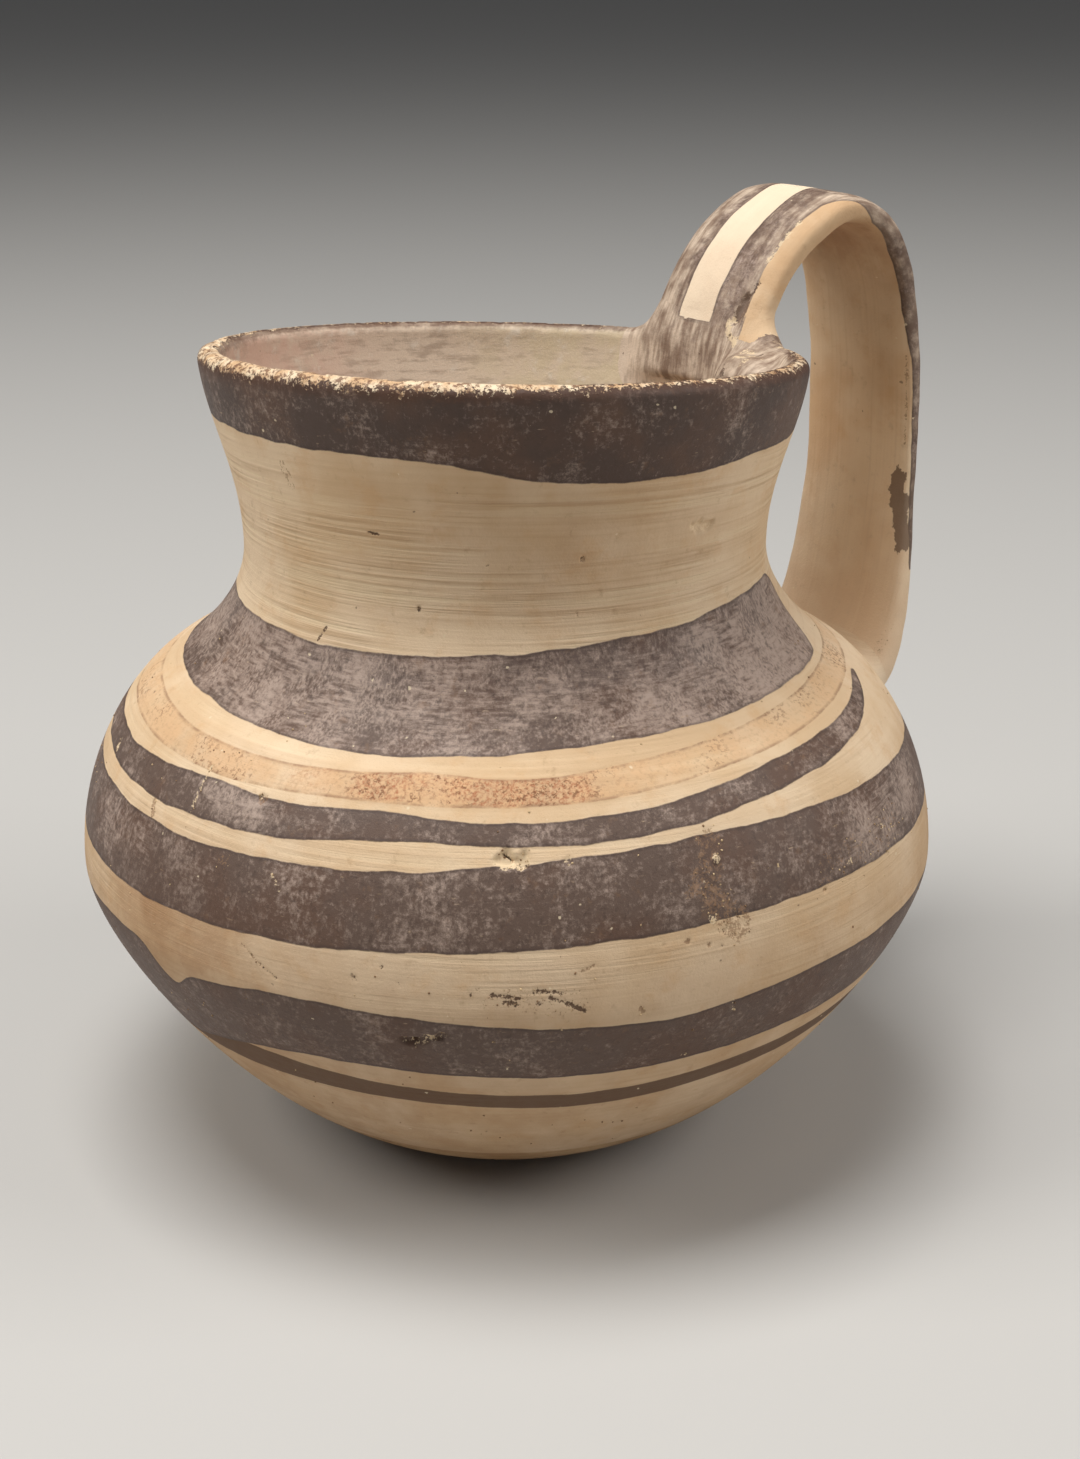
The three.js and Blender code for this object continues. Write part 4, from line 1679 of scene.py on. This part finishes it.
def dust_grain(tree, place, brush, dust):
    """Crumbs where there is little dust, and level or upright strokes where there is more."""
    level = strokes(tree, brush, 4.0, 0.5, 4)
    upright = lumps(tree, vector_node(tree, "MULTIPLY", brush, upright_stroke), 1.0, 4)
    drawn = value_mix(tree, patches(tree, place, 7, 0.45, 0.55, 2), level, upright)
    share_drawn = value_mix(tree, ramp_up(tree, dust, 0.3, 0.7), 0.2, 0.55)
    return value_mix(tree, share_drawn, lumps(tree, place, 1.2, 6, 0.8), drawn)


def dark_paint_group():
    tree, given, made = new_tree(
        "dark_paint",
        "ShaderNodeTree",
        [("Place", "Vector"), ("Brush", "Vector"), ("Base", "Color"), ("Dust", "Float"), ("Worn", "Float")],
        [("Colour", "Color"), ("Height", "Float")],
    )
    place, brush = given["Place"], given["Brush"]
    colour = tinted(tree, given["Base"], paint_brown, patches(tree, place, 15, 0.42, 0.64, 4), 0.8)
    grain = dust_grain(tree, place, brush, given["Dust"])
    film = lumps(tree, place, 10, 5, 0.65)
    dusty = plus(tree, swing(tree, grain, 2.9), swing(tree, film, 1.5), given["Dust"])
    colour = tinted(tree, colour, paint_dust, ramp_up(tree, dusty, 0.2, 1.05), 0.85)
    colour = tinted(tree, colour, paint_deep, patches(tree, place, 1.4, 0.52, 0.68, 5, 0.7), 0.6)
    colour = tinted(tree, colour, paint_warm, patches(tree, place, 3.2, 0.58, 0.74, 5, 0.7), 0.45)
    rubbed = plus(tree, given["Worn"], swing(tree, lumps(tree, place, 3, 4, 0.6), 1.1))
    rubbed = ramp_up(tree, rubbed, 0.3, 0.75)
    streak = times(tree, strokes(tree, brush, 7, 1.1, 4), 0.55)
    blotch = times(tree, lumps(tree, place, 4.5, 5, 0.65), 0.45)
    paler = times(tree, ramp_up(tree, given["Worn"], 0.95, 1.2), 0.55)
    tone = ramp_up(tree, plus(tree, streak, blotch), 0.37, 0.66)
    tone = math_node(tree, "ADD", tone, paler, clamp=True)
    wash = colour_mix(tree, tone, linear_colour(*wash_dark), linear_colour(*wash_pale))
    colour = colour_mix(tree, times(tree, rubbed, 0.9), colour, wash)
    fine = swing(tree, lumps(tree, place, 0.45, 3, 0.7), 0.07)
    fill(tree, made["Colour"], colour)
    fill(tree, made["Height"], plus(tree, swing(tree, grain, 0.12), fine))
    return tree


paint_nodes = dark_paint_group()
print("dark paint:", len(paint_nodes.nodes), "nodes")

# %% [markdown]
# ## Brushed edges
#
# A loaded brush leaves an edge that wanders, is ragged where bristles part and is darker
# where paint gathers. The group shifts the stored depth by three noises before it asks
# where it is zero, so an edge stays crisp and still looks drawn by hand.

# %% Brushed edges
def painted_edge_group():
    """From a depth in mm to a mask with a brushed edge, and a darker line along the edge."""
    tree, given, made = new_tree(
        "painted_edge",
        "ShaderNodeTree",
        [("Depth", "Float"), ("Place", "Vector"), ("Brush", "Vector"), ("Wander", "Float")],
        [("Mask", "Float"), ("Edge Line", "Float")],
    )
    place = given["Place"]
    wander = swing(tree, lumps(tree, place, 9, 2), given["Wander"])
    ragged = swing(tree, lumps(tree, place, 0.8, 3, 0.6), 0.2)
    bristles = swing(tree, strokes(tree, given["Brush"], 6, 0.5), 0.12)
    depth = plus(tree, ragged, bristles, wander, given["Depth"])
    mask = ramp_up(tree, depth, -0.14, 0.14)
    line = math_node(tree, "SUBTRACT", 1.0, ramp_up(tree, depth, 0.15, 0.75))
    fill(tree, made["Mask"], mask)
    fill(tree, made["Edge Line"], times(tree, mask, line))
    return tree


edge_nodes = painted_edge_group()
print("edge:", len(edge_nodes.nodes), "nodes")

# %% [markdown]
# ## Flecks, rim wear and weathering
#
# Three small groups finish the set. Flecks are the grit in the clay: one spot at most in
# each cell of a Voronoi pattern, with its size and its chance taken from the cell. Rim
# wear bares the crest, further on one side, with a brown halo below. Weathering breaks a
# soft mask into grains, as a stain or a chip breaks up on rough clay.

# %% Flecks, rim wear and weathering
def flecks_group():
    """Small irregular spots, at most one in each cell, kept in a share of the cells."""
    tree, given, made = new_tree(
        "flecks",
        "ShaderNodeTree",
        [("Place", "Vector"), ("Spacing", "Float"), ("Size", "Float"), ("Share", "Float")],
        [("Mask", "Float")],
    )
    noise_node = put(tree, "ShaderNodeTexNoise", {"Vector": given["Place"], "Scale": 1.4, "Detail": 2.0})
    push = vector_node(tree, "SUBTRACT", noise_node.outputs["Color"], half_way)
    push = vector_node(tree, "MULTIPLY", push, (0.9, 0.9, 0.5))
    shaken = vector_node(tree, "ADD", given["Place"], push)
    fineness = math_node(tree, "DIVIDE", 1.0, given["Spacing"])
    cells = put(tree, "ShaderNodeTexVoronoi", {"Vector": shaken, "Scale": fineness}).outputs
    chance = put(tree, "ShaderNodeSeparateColor", {"Color": cells["Color"]}).outputs
    width = times(tree, cells["Distance"], given["Spacing"])
    size = times(tree, given["Size"], plus(tree, 0.45, chance[1]))
    outside = ramp_up(tree, math_node(tree, "DIVIDE", width, size), 0.7, 1.1)
    kept = math_node(tree, "LESS_THAN", chance[0], given["Share"])
    fill(tree, made["Mask"], times(tree, math_node(tree, "SUBTRACT", 1.0, outside), kept))
    return tree


def rim_wear_group():
    """Where the crest of the rim has lost its paint, more on one side than on the other."""
    tree, given, made = new_tree(
        "rim_wear",
        "ShaderNodeTree",
        [("Crest", "Float"), ("Place", "Vector"), ("Worn Way", "Vector")],
        [("Bare", "Float"), ("Halo", "Float")],
    )
    place = given["Place"]
    worn_way_share = ramp_up(tree, facing(tree, place, given["Worn Way"]), 0.2, 1.0)
    reach = plus(tree, 0.7, times(tree, worn_way_share, 1.7))
    chips = swing(tree, lumps(tree, place, 2.4, 4, 0.65), 5.0)
    crumbs = swing(tree, lumps(tree, place, 0.6, 4, 0.7), 4.5)
    ragged = plus(tree, chips, crumbs)
    off_crest = math_node(tree, "ABSOLUTE", plus(tree, given["Crest"], 0.6))
    depth = plus(tree, math_node(tree, "SUBTRACT", reach, off_crest), ragged)
    fill(tree, made["Bare"], ramp_up(tree, depth, -0.1, 0.35))
    wider = math_node(tree, "SUBTRACT", plus(tree, reach, 1.4), off_crest)
    round_it = plus(tree, wider, times(tree, ragged, 0.5))
    fill(tree, made["Halo"], ramp_up(tree, round_it, -1.2, 0.6))
    return tree


def weathered_group():
    """Breaks a soft mask into grains."""
    tree, given, made = new_tree(
        "weathered", "ShaderNodeTree", [("Mask", "Float"), ("Place", "Vector")], [("Mask", "Float")]
    )
    place = given["Place"]
    coarse = swing(tree, lumps(tree, place, 1.2, 4, 0.65), 1.5)
    fine = swing(tree, lumps(tree, place, 0.4, 3, 0.6), 1.5)
    depth = plus(tree, times(tree, given["Mask"], 0.8), plus(tree, coarse, fine))
    grains = ramp_up(tree, depth, 0.34, 0.56)
    fill(tree, made["Mask"], times(tree, grains, ramp_up(tree, given["Mask"], 0.0, 0.25)))
    return tree


groups = {
    "ground": slip_nodes,
    "dark": paint_nodes,
    "edge": edge_nodes,
    "flecks": flecks_group(),
    "rim": rim_wear_group(),
    "weathered": weathered_group(),
}


def use(tree, name, **inputs):
    """Places a group in a material and fills its inputs by name."""
    node = put(tree, "ShaderNodeGroup", node_tree=groups[name])
    for label, value in inputs.items():
        fill(tree, node.inputs[label.replace("_", " ").title()], value)
    return node.outputs


def read(tree, name, output="Fac"):
    """An attribute that was stored on the mesh."""
    return put(tree, "ShaderNodeAttribute", attribute_name=name).outputs[output]


def own_millimetres(tree):
    """The piece's own coordinates, in millimetres."""
    own = put(tree, "ShaderNodeTexCoord").outputs["Object"]
    return vector_node(tree, "MULTIPLY", own, (1 / MM, 1 / MM, 1 / MM))


print("shader groups:", [group.name for group in groups.values()])

# %% [markdown]
# ## The blush band
#
# Under the shoulder runs a band of thin ochre paint with a fine outline. It has faded
# unevenly, and rust and brown grains show in it, mostly where earth has soaked in. It is
# laid in four coats, each broken up by a noise of its own, because a single coat of
# ochre looked printed.

# %% The blush band
blush_ochre, blush_rust = (212, 172, 130), (164, 102, 70)
blush_sand, blush_outline = (122, 82, 56), (134, 100, 76)
blush_wander = 0.6


def blush_coats(tree, colour, place, brush, earth):
    blush = use(tree, "edge", depth=read(tree, "blush"), place=place, brush=brush, wander=blush_wander)
    ruddy = math_node(tree, "MAXIMUM", math_node(tree, "SUBTRACT", earth, 0.25), 0.0)
    faded = value_mix(tree, patches(tree, place, 9, 0.36, 0.62, 5, 0.65), 0.2, 0.9)
    faded = times(tree, faded, math_node(tree, "ADD", 0.6, earth, clamp=True))
    colour = tinted(tree, colour, blush_ochre, blush["Mask"], faded)
    rust = patches(tree, place, 0.65, 0.42, 0.66, 5, 0.75)
    rusty = ramp_up(tree, plus(tree, lumps(tree, place, 16, 4, 0.6), times(tree, ruddy, 1.2)), 0.54, 0.74)
    colour = tinted(tree, colour, blush_rust, blush["Mask"], rust, rusty, 0.85)
    sand = patches(tree, place, 0.8, 0.515, 0.6, 5, 0.75)
    sandy = ramp_up(tree, plus(tree, lumps(tree, place, 10, 4, 0.6), ruddy), 0.47, 0.7)
    sandy = value_mix(tree, sandy, 0.14, 0.9)
    colour = tinted(tree, colour, blush_sand, blush["Mask"], sand, sandy)
    broken = patches(tree, place, 6, 0.36, 0.6, 5, 0.7)
    return tinted(tree, colour, blush_outline, blush["Edge Line"], broken, 0.6)


print("coats of the blush band: ochre, rust, sand and outline")

# %% [markdown]
# ## The mouth
#
# Inside the mouth the paint has gone thin, rosy on one side and cream on the other, with
# grey lime here and there. The rim's crest is worn through to tanned bare clay that is
# peppered with brown. Both follow `crest`, the distance past the rim's top.

# %% The mouth
mouth_rose, mouth_cream = (206, 166, 146), (206, 188, 154)
mouth_tints = [(mouth_rose, 135, 0.5), (mouth_cream, 25, 0.7)]
lime_grey, halo_brown, pepper_brown = (216, 204, 188), (84, 54, 38), (110, 72, 48)
bare_pale, bare_tan = (234, 212, 180), (208, 172, 132)


def side_way(turn):
    """The level direction at an angle round the pot."""
    return (*polar(1.0, turn), 0.0)


def mouth_coats(tree, colour, height, bare_height, place):
    """The tints inside the mouth, and the rim's crest worn to bare clay."""
    crest = read(tree, "crest")
    inside = ramp_up(tree, crest, 0.8, 3.0)
    for tint, turn, low in mouth_tints:
        there = ramp_up(tree, facing(tree, place, side_way(turn)), low, 0.98)
        patchy = value_mix(tree, patches(tree, place, 6, 0.35, 0.6, 5, 0.65), 0.25, 0.75)
        colour = tinted(tree, colour, tint, inside, there, patchy)
    lime = patches(tree, place, 5, 0.56, 0.68, 5, 0.7)
    colour = tinted(tree, colour, lime_grey, inside, lime, 0.5)
    rim = use(tree, "rim", crest=crest, place=place, worn_way=side_way(worn_side))
    colour = tinted(tree, colour, halo_brown, rim["Halo"], 0.55)
    tanned = patches(tree, place, 3, 0.35, 0.65, 4)
    bare = colour_mix(tree, tanned, linear_colour(*bare_pale), linear_colour(*bare_tan))
    colour = colour_mix(tree, rim["Bare"], colour, bare)
    pepper = patches(tree, place, 1.1, 0.48, 0.56, 5, 0.75)
    outer_side = ramp_up(tree, crest, 1.0, -0.2)
    colour = tinted(tree, colour, pepper_brown, rim["Bare"], pepper, 0.85, outer_side)
    worn_down = math_node(tree, "SUBTRACT", bare_height, 0.1)
    return colour, value_mix(tree, rim["Bare"], height, worn_down)


print("tints inside the mouth:", len(mouth_tints))

# %% [markdown]
# ## Flecks and marks over all
#
# Flecks of grit show through slip and paint alike, and the marks of age lie over all of
# them. Each mark's mask is an attribute, and each has one tint for the whole pot.

# %% Flecks and marks over all
fleck_size = 0.24
dark_fleck, dark_spacing, dark_share = (88, 62, 46), 4.2, 0.25
pale_fleck, pale_spacing, pale_share = (226, 208, 176), 3.4, 0.26
pale_shift = (31, 7, 3)
mark_tints = {
    "stain": ((142, 109, 80), 0.65),
    # the dull dark brown is soot, and painted shade inside the strap's pit
    "soot": ((110, 88, 72), 0.85),
    "chalk": ((220, 196, 160), 0.9),
    "scorch": ((76, 52, 38), 0.85),
}


def marked(tree, colour, place):
    """Lays the flecks of the clay and the marks of age over a colour."""
    flecks = use(tree, "flecks", place=place, spacing=dark_spacing, size=fleck_size, share=dark_share)
    colour = tinted(tree, colour, dark_fleck, flecks["Mask"], 0.6)
    beside = vector_node(tree, "ADD", place, pale_shift)
    flecks = use(tree, "flecks", place=beside, spacing=pale_spacing, size=fleck_size, share=pale_share)
    colour = tinted(tree, colour, pale_fleck, flecks["Mask"], 0.7)
    for name, (tint, strength) in mark_tints.items():
        mask = use(tree, "weathered", mask=read(tree, name), place=place)["Mask"]
        colour = tinted(tree, colour, tint, mask, strength)
    return colour


print("tints of the marks:", sorted(mark_tints))

# %% [markdown]
# ## The finishes
#
# Every finish starts from the slip, lays the blush band and the brown line on it, then
# the dark paint, then specks, marks and wear, in the order in which they came to the
# pot. What differs is the colour of the ground, how streaky it is, and whether the rim's
# wear and the tints of the mouth are there. Roughness follows the paint, since burnished
# paint has a faint sheen that raw slip lacks.

# %% The finishes
cream_light, cream_deep = (224, 199, 167), (209, 179, 142)
# the palest clay colour is laid for the stripe's pale slip and for the painted light low on the loop
pale_clay_and_light, soil_brown, line_brown = (240, 222, 197), (140, 104, 70), (92, 68, 52)
soaked_paint, paint_edge = (86, 62, 49), (58, 44, 40)
line_wander, paint_wander = 0.8, 1.3
slip_roughness, paint_roughness, clay_specular = 0.86, 0.55, 0.35
paint_thickness = 0.05


def clay_finish(name, base, light=cream_light, deep=cream_deep, streaks=0.5, mouth=False, soil=0.0):
    material = bpy.data.materials.new(name)
    material.use_nodes = True
    tree = material.node_tree
    place, brush = own_millimetres(tree), read(tree, "brush", "Vector")
    earth, worn, dust = (read(tree, field) for field in ("earth", "worn", "dust"))
    slip = {"light": linear_colour(*light), "deep": linear_colour(*deep), "streaks": streaks}
    ground = use(tree, "ground", place=place, brush=brush, earth=earth, **slip)
    # pale slip, and painted light low on the strap's loop
    colour = tinted(tree, ground["Colour"], pale_clay_and_light, read(tree, "fresh"), 0.75)
    if soil:
        colour = tinted(tree, colour, soil_brown, patches(tree, place, 12, 0.35, 0.7, 5, 0.65), soil)
    colour = blush_coats(tree, colour, place, brush, earth)
    line = use(tree, "edge", depth=read(tree, "line"), place=place, brush=brush, wander=line_wander)
    colour = tinted(tree, colour, line_brown, line["Mask"], 0.9)
    dark = use(tree, "dark", place=place, brush=brush, base=linear_colour(*base), dust=dust, worn=worn)
    soaked = tinted(tree, dark["Colour"], soaked_paint, earth, 0.5)
    paint = use(tree, "edge", depth=read(tree, "paint"), place=place, brush=brush, wander=paint_wander)
    thin = ramp_up(tree, strokes(tree, brush, 2.2, 0.5, 4), 0.24, 0.33)
    cover = times(tree, paint["Mask"], value_mix(tree, thin, 0.6, 0.98))
    colour = colour_mix(tree, cover, colour, soaked)
    colour = tinted(tree, colour, paint_edge, paint["Edge Line"], 0.45)
    painted = plus(tree, dark["Height"], paint_thickness)
    height = value_mix(tree, paint["Mask"], ground["Height"], painted)
    if mouth:
        colour, height = mouth_coats(tree, colour, height, ground["Height"], place)
    sheen = value_mix(tree, paint["Mask"], slip_roughness, paint_roughness)
    uneven = swing(tree, lumps(tree, place, 2, 3), 0.25)
    bump = put(tree, "ShaderNodeBump", {"Height": height, "Distance": MM, "Strength": 1.0})
    shader = tree.nodes["Principled BSDF"]
    fill(tree, shader.inputs["Base Color"], marked(tree, colour, place))
    fill(tree, shader.inputs["Roughness"], plus(tree, sheen, uneven))
    fill(tree, shader.inputs["Normal"], bump.outputs["Normal"])
    shader.inputs["Specular IOR Level"].default_value = clay_specular
    return material


finishes = {
    "base_clay": clay_finish("base_clay", (98, 82, 75), (206, 176, 136), (178, 142, 100), soil=0.5),
    "banded_slip": clay_finish("banded_slip", (92, 74, 65), streaks=0.35),
    "brushed_slip": clay_finish("brushed_slip", (98, 82, 75), streaks=0.8, mouth=True),
    "dark_paint": clay_finish("dark_paint", (73, 57, 51), mouth=True),
    "strap_paint": clay_finish(
        "strap_paint", (106, 85, 72), light=(224, 198, 164), deep=(204, 168, 128), streaks=0.2
    ),
}
print("finishes:", {name: len(finish.node_tree.nodes) for name, finish in finishes.items()})

# %% [markdown]
# ## Clinging grit
#
# Grains of earth still cling to the old marks. They are real grains, scattered by a
# tree: it drops points on the wall where the attribute `grit` asks for them, puts a tiny
# rough stone on each at a random size and turn, and joins them into one mesh.

# %% Clinging grit
grit_density = 3.0
grit_smallest, grit_largest = 0.06, 0.26
grit_seed = 11
grit_flatness = (1, 1, 0.7)
outside_crest = -3
grit_on_stain, grit_on_chalk = 0.35, 0.25
grit_patch_size, grit_patch_share, grit_everywhere = 14.0, 0.012, 0.002
grain_dark, grain_pale, grain_roughness = (122, 92, 64), (206, 180, 140), 0.92


def store_grit(piece):
    mesh = piece.data
    places = vertex_places(mesh)
    outside = read_values(mesh, "crest") < outside_crest
    stains, chips = read_values(mesh, "stain"), read_values(mesh, "chalk")
    marks = np.maximum(stains * grit_on_stain, chips * grit_on_chalk)
    here_and_there = smooth_share(value_noise(places, grit_patch_size, 21.0), 0.35, 0.75)
    wanted = marks + here_and_there * grit_patch_share + grit_everywhere
    store_values(mesh, "grit", np.where(outside, wanted, 0))


def grit_tree():
    tree, given, made = new_tree(
        "clinging_grit",
        "GeometryNodeTree",
        [
            ("Lower", "Object"),
            ("Upper", "Object"),
            ("Density", "Float"),
            ("Smallest", "Float"),
            ("Largest", "Float"),
            ("Seed", "Int"),
            ("Stone", "Material"),
        ],
        [("Grit", "Geometry")],
    )
    both = put(tree, "GeometryNodeJoinGeometry")
    for label in ("Lower", "Upper"):
        wall = put(tree, "GeometryNodeObjectInfo", {"Object": given[label]}).outputs["Geometry"]
        tree.links.new(wall, both.inputs["Geometry"])
    wanted = put(tree, "GeometryNodeInputNamedAttribute", {"Name": "grit"}, data_type="FLOAT")
    points = put(
        tree,
        "GeometryNodeDistributePointsOnFaces",
        {
            "Mesh": both.outputs["Geometry"],
            "Density": times(tree, given["Density"], wanted.outputs["Attribute"]),
            "Seed": given["Seed"],
        },
        distribute_method="RANDOM",
    )
    stone = put(tree, "GeometryNodeMeshIcoSphere", {"Radius": 1.0, "Subdivisions": 1})
    size = put(tree, "FunctionNodeRandomValue", data_type="FLOAT")
    fill(tree, size.inputs[2], given["Smallest"])
    fill(tree, size.inputs[3], given["Largest"])
    fill(tree, size.inputs["Seed"], given["Seed"])
    flattened = put(tree, "ShaderNodeVectorMath", {0: grit_flatness}, operation="SCALE")
    fill(tree, flattened.inputs["Scale"], size.outputs[1])
    whole_turn = (math.tau, math.tau, math.tau)
    turn = put(tree, "FunctionNodeRandomValue", {0: (0, 0, 0), 1: whole_turn}, data_type="FLOAT_VECTOR")
    grains = put(
        tree,
        "GeometryNodeInstanceOnPoints",
        {
            "Points": points.outputs["Points"],
            "Instance": stone.outputs["Mesh"],
            "Rotation": turn.outputs[0],
            "Scale": flattened.outputs["Vector"],
        },
    )
    close_tree(tree, grains.outputs["Instances"], given["Stone"], made["Grit"])
    return tree


grit_nodes = grit_tree()
print("grit tree:", len(grit_nodes.nodes), "nodes")

# %% [markdown]
# ## Grains on the wall
#
# The grains' clay runs from dark to pale by a slow noise, so that neighbours are alike, as
# they are where one splash dried. The result is made a plain mesh, because the export
# drops instances.

# %% Grains on the wall
def grit_finish():
    material = bpy.data.materials.new("grit")
    material.use_nodes = True
    tree = material.node_tree
    shader = tree.nodes["Principled BSDF"]
    tone = patches(tree, own_millimetres(tree), 1.6, 0.4, 0.62)
    colour = colour_mix(tree, tone, linear_colour(*grain_dark), linear_colour(*grain_pale))
    fill(tree, shader.inputs["Base Color"], colour)
    shader.inputs["Roughness"].default_value = grain_roughness
    return material


for name in ("lower_wall", "shoulder_wall"):
    store_grit(courses[name])
grit = link_piece("clinging_grit", bpy.data.meshes.new("clinging_grit"))
modifier = grit.modifiers.new("clinging_grit", "NODES")
modifier.node_group = grit_nodes
set_inputs(
    modifier,
    {
        "Lower": courses["lower_wall"],
        "Upper": courses["shoulder_wall"],
        "Density": grit_density / MM**2,
        "Smallest": grit_smallest * MM,
        "Largest": grit_largest * MM,
        "Seed": grit_seed,
        "Stone": grit_finish(),
    },
)
bake_modifier(grit)
face_outward(grit.data)
print("grit triangles:", len(grit.data.polygons))

# %% [markdown]
# ## Dressing the frame
#
# Each piece takes its finish, rides the frame's one body and replaces its node. The frame's
# own size is printed at the end.

# %% Dressing the frame
dress = {
    "base_dish": (courses["base_dish"], "base_clay"),
    "lower_wall": (courses["lower_wall"], "banded_slip"),
    "shoulder_wall": (courses["shoulder_wall"], "banded_slip"),
    "neck_collar": (courses["neck_collar"], "brushed_slip"),
    "flared_lip": (courses["flared_lip"], "dark_paint"),
    "strap_handle": (strap, "strap_paint"),
    "mouth_luting": (mouth_luting, "strap_paint"),
    "belly_luting": (belly_luting, "brushed_slip"),
}
for node, (piece, slot) in dress.items():
    piece.data.materials.clear()
    piece.data.materials.append(finishes[slot])
    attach(piece, "root")
    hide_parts(node)
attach(grit, "root")


def plain(box):
    return [[round(value, 6) for value in corner] for corner in box]


print("frame box:", plain(cad_box))
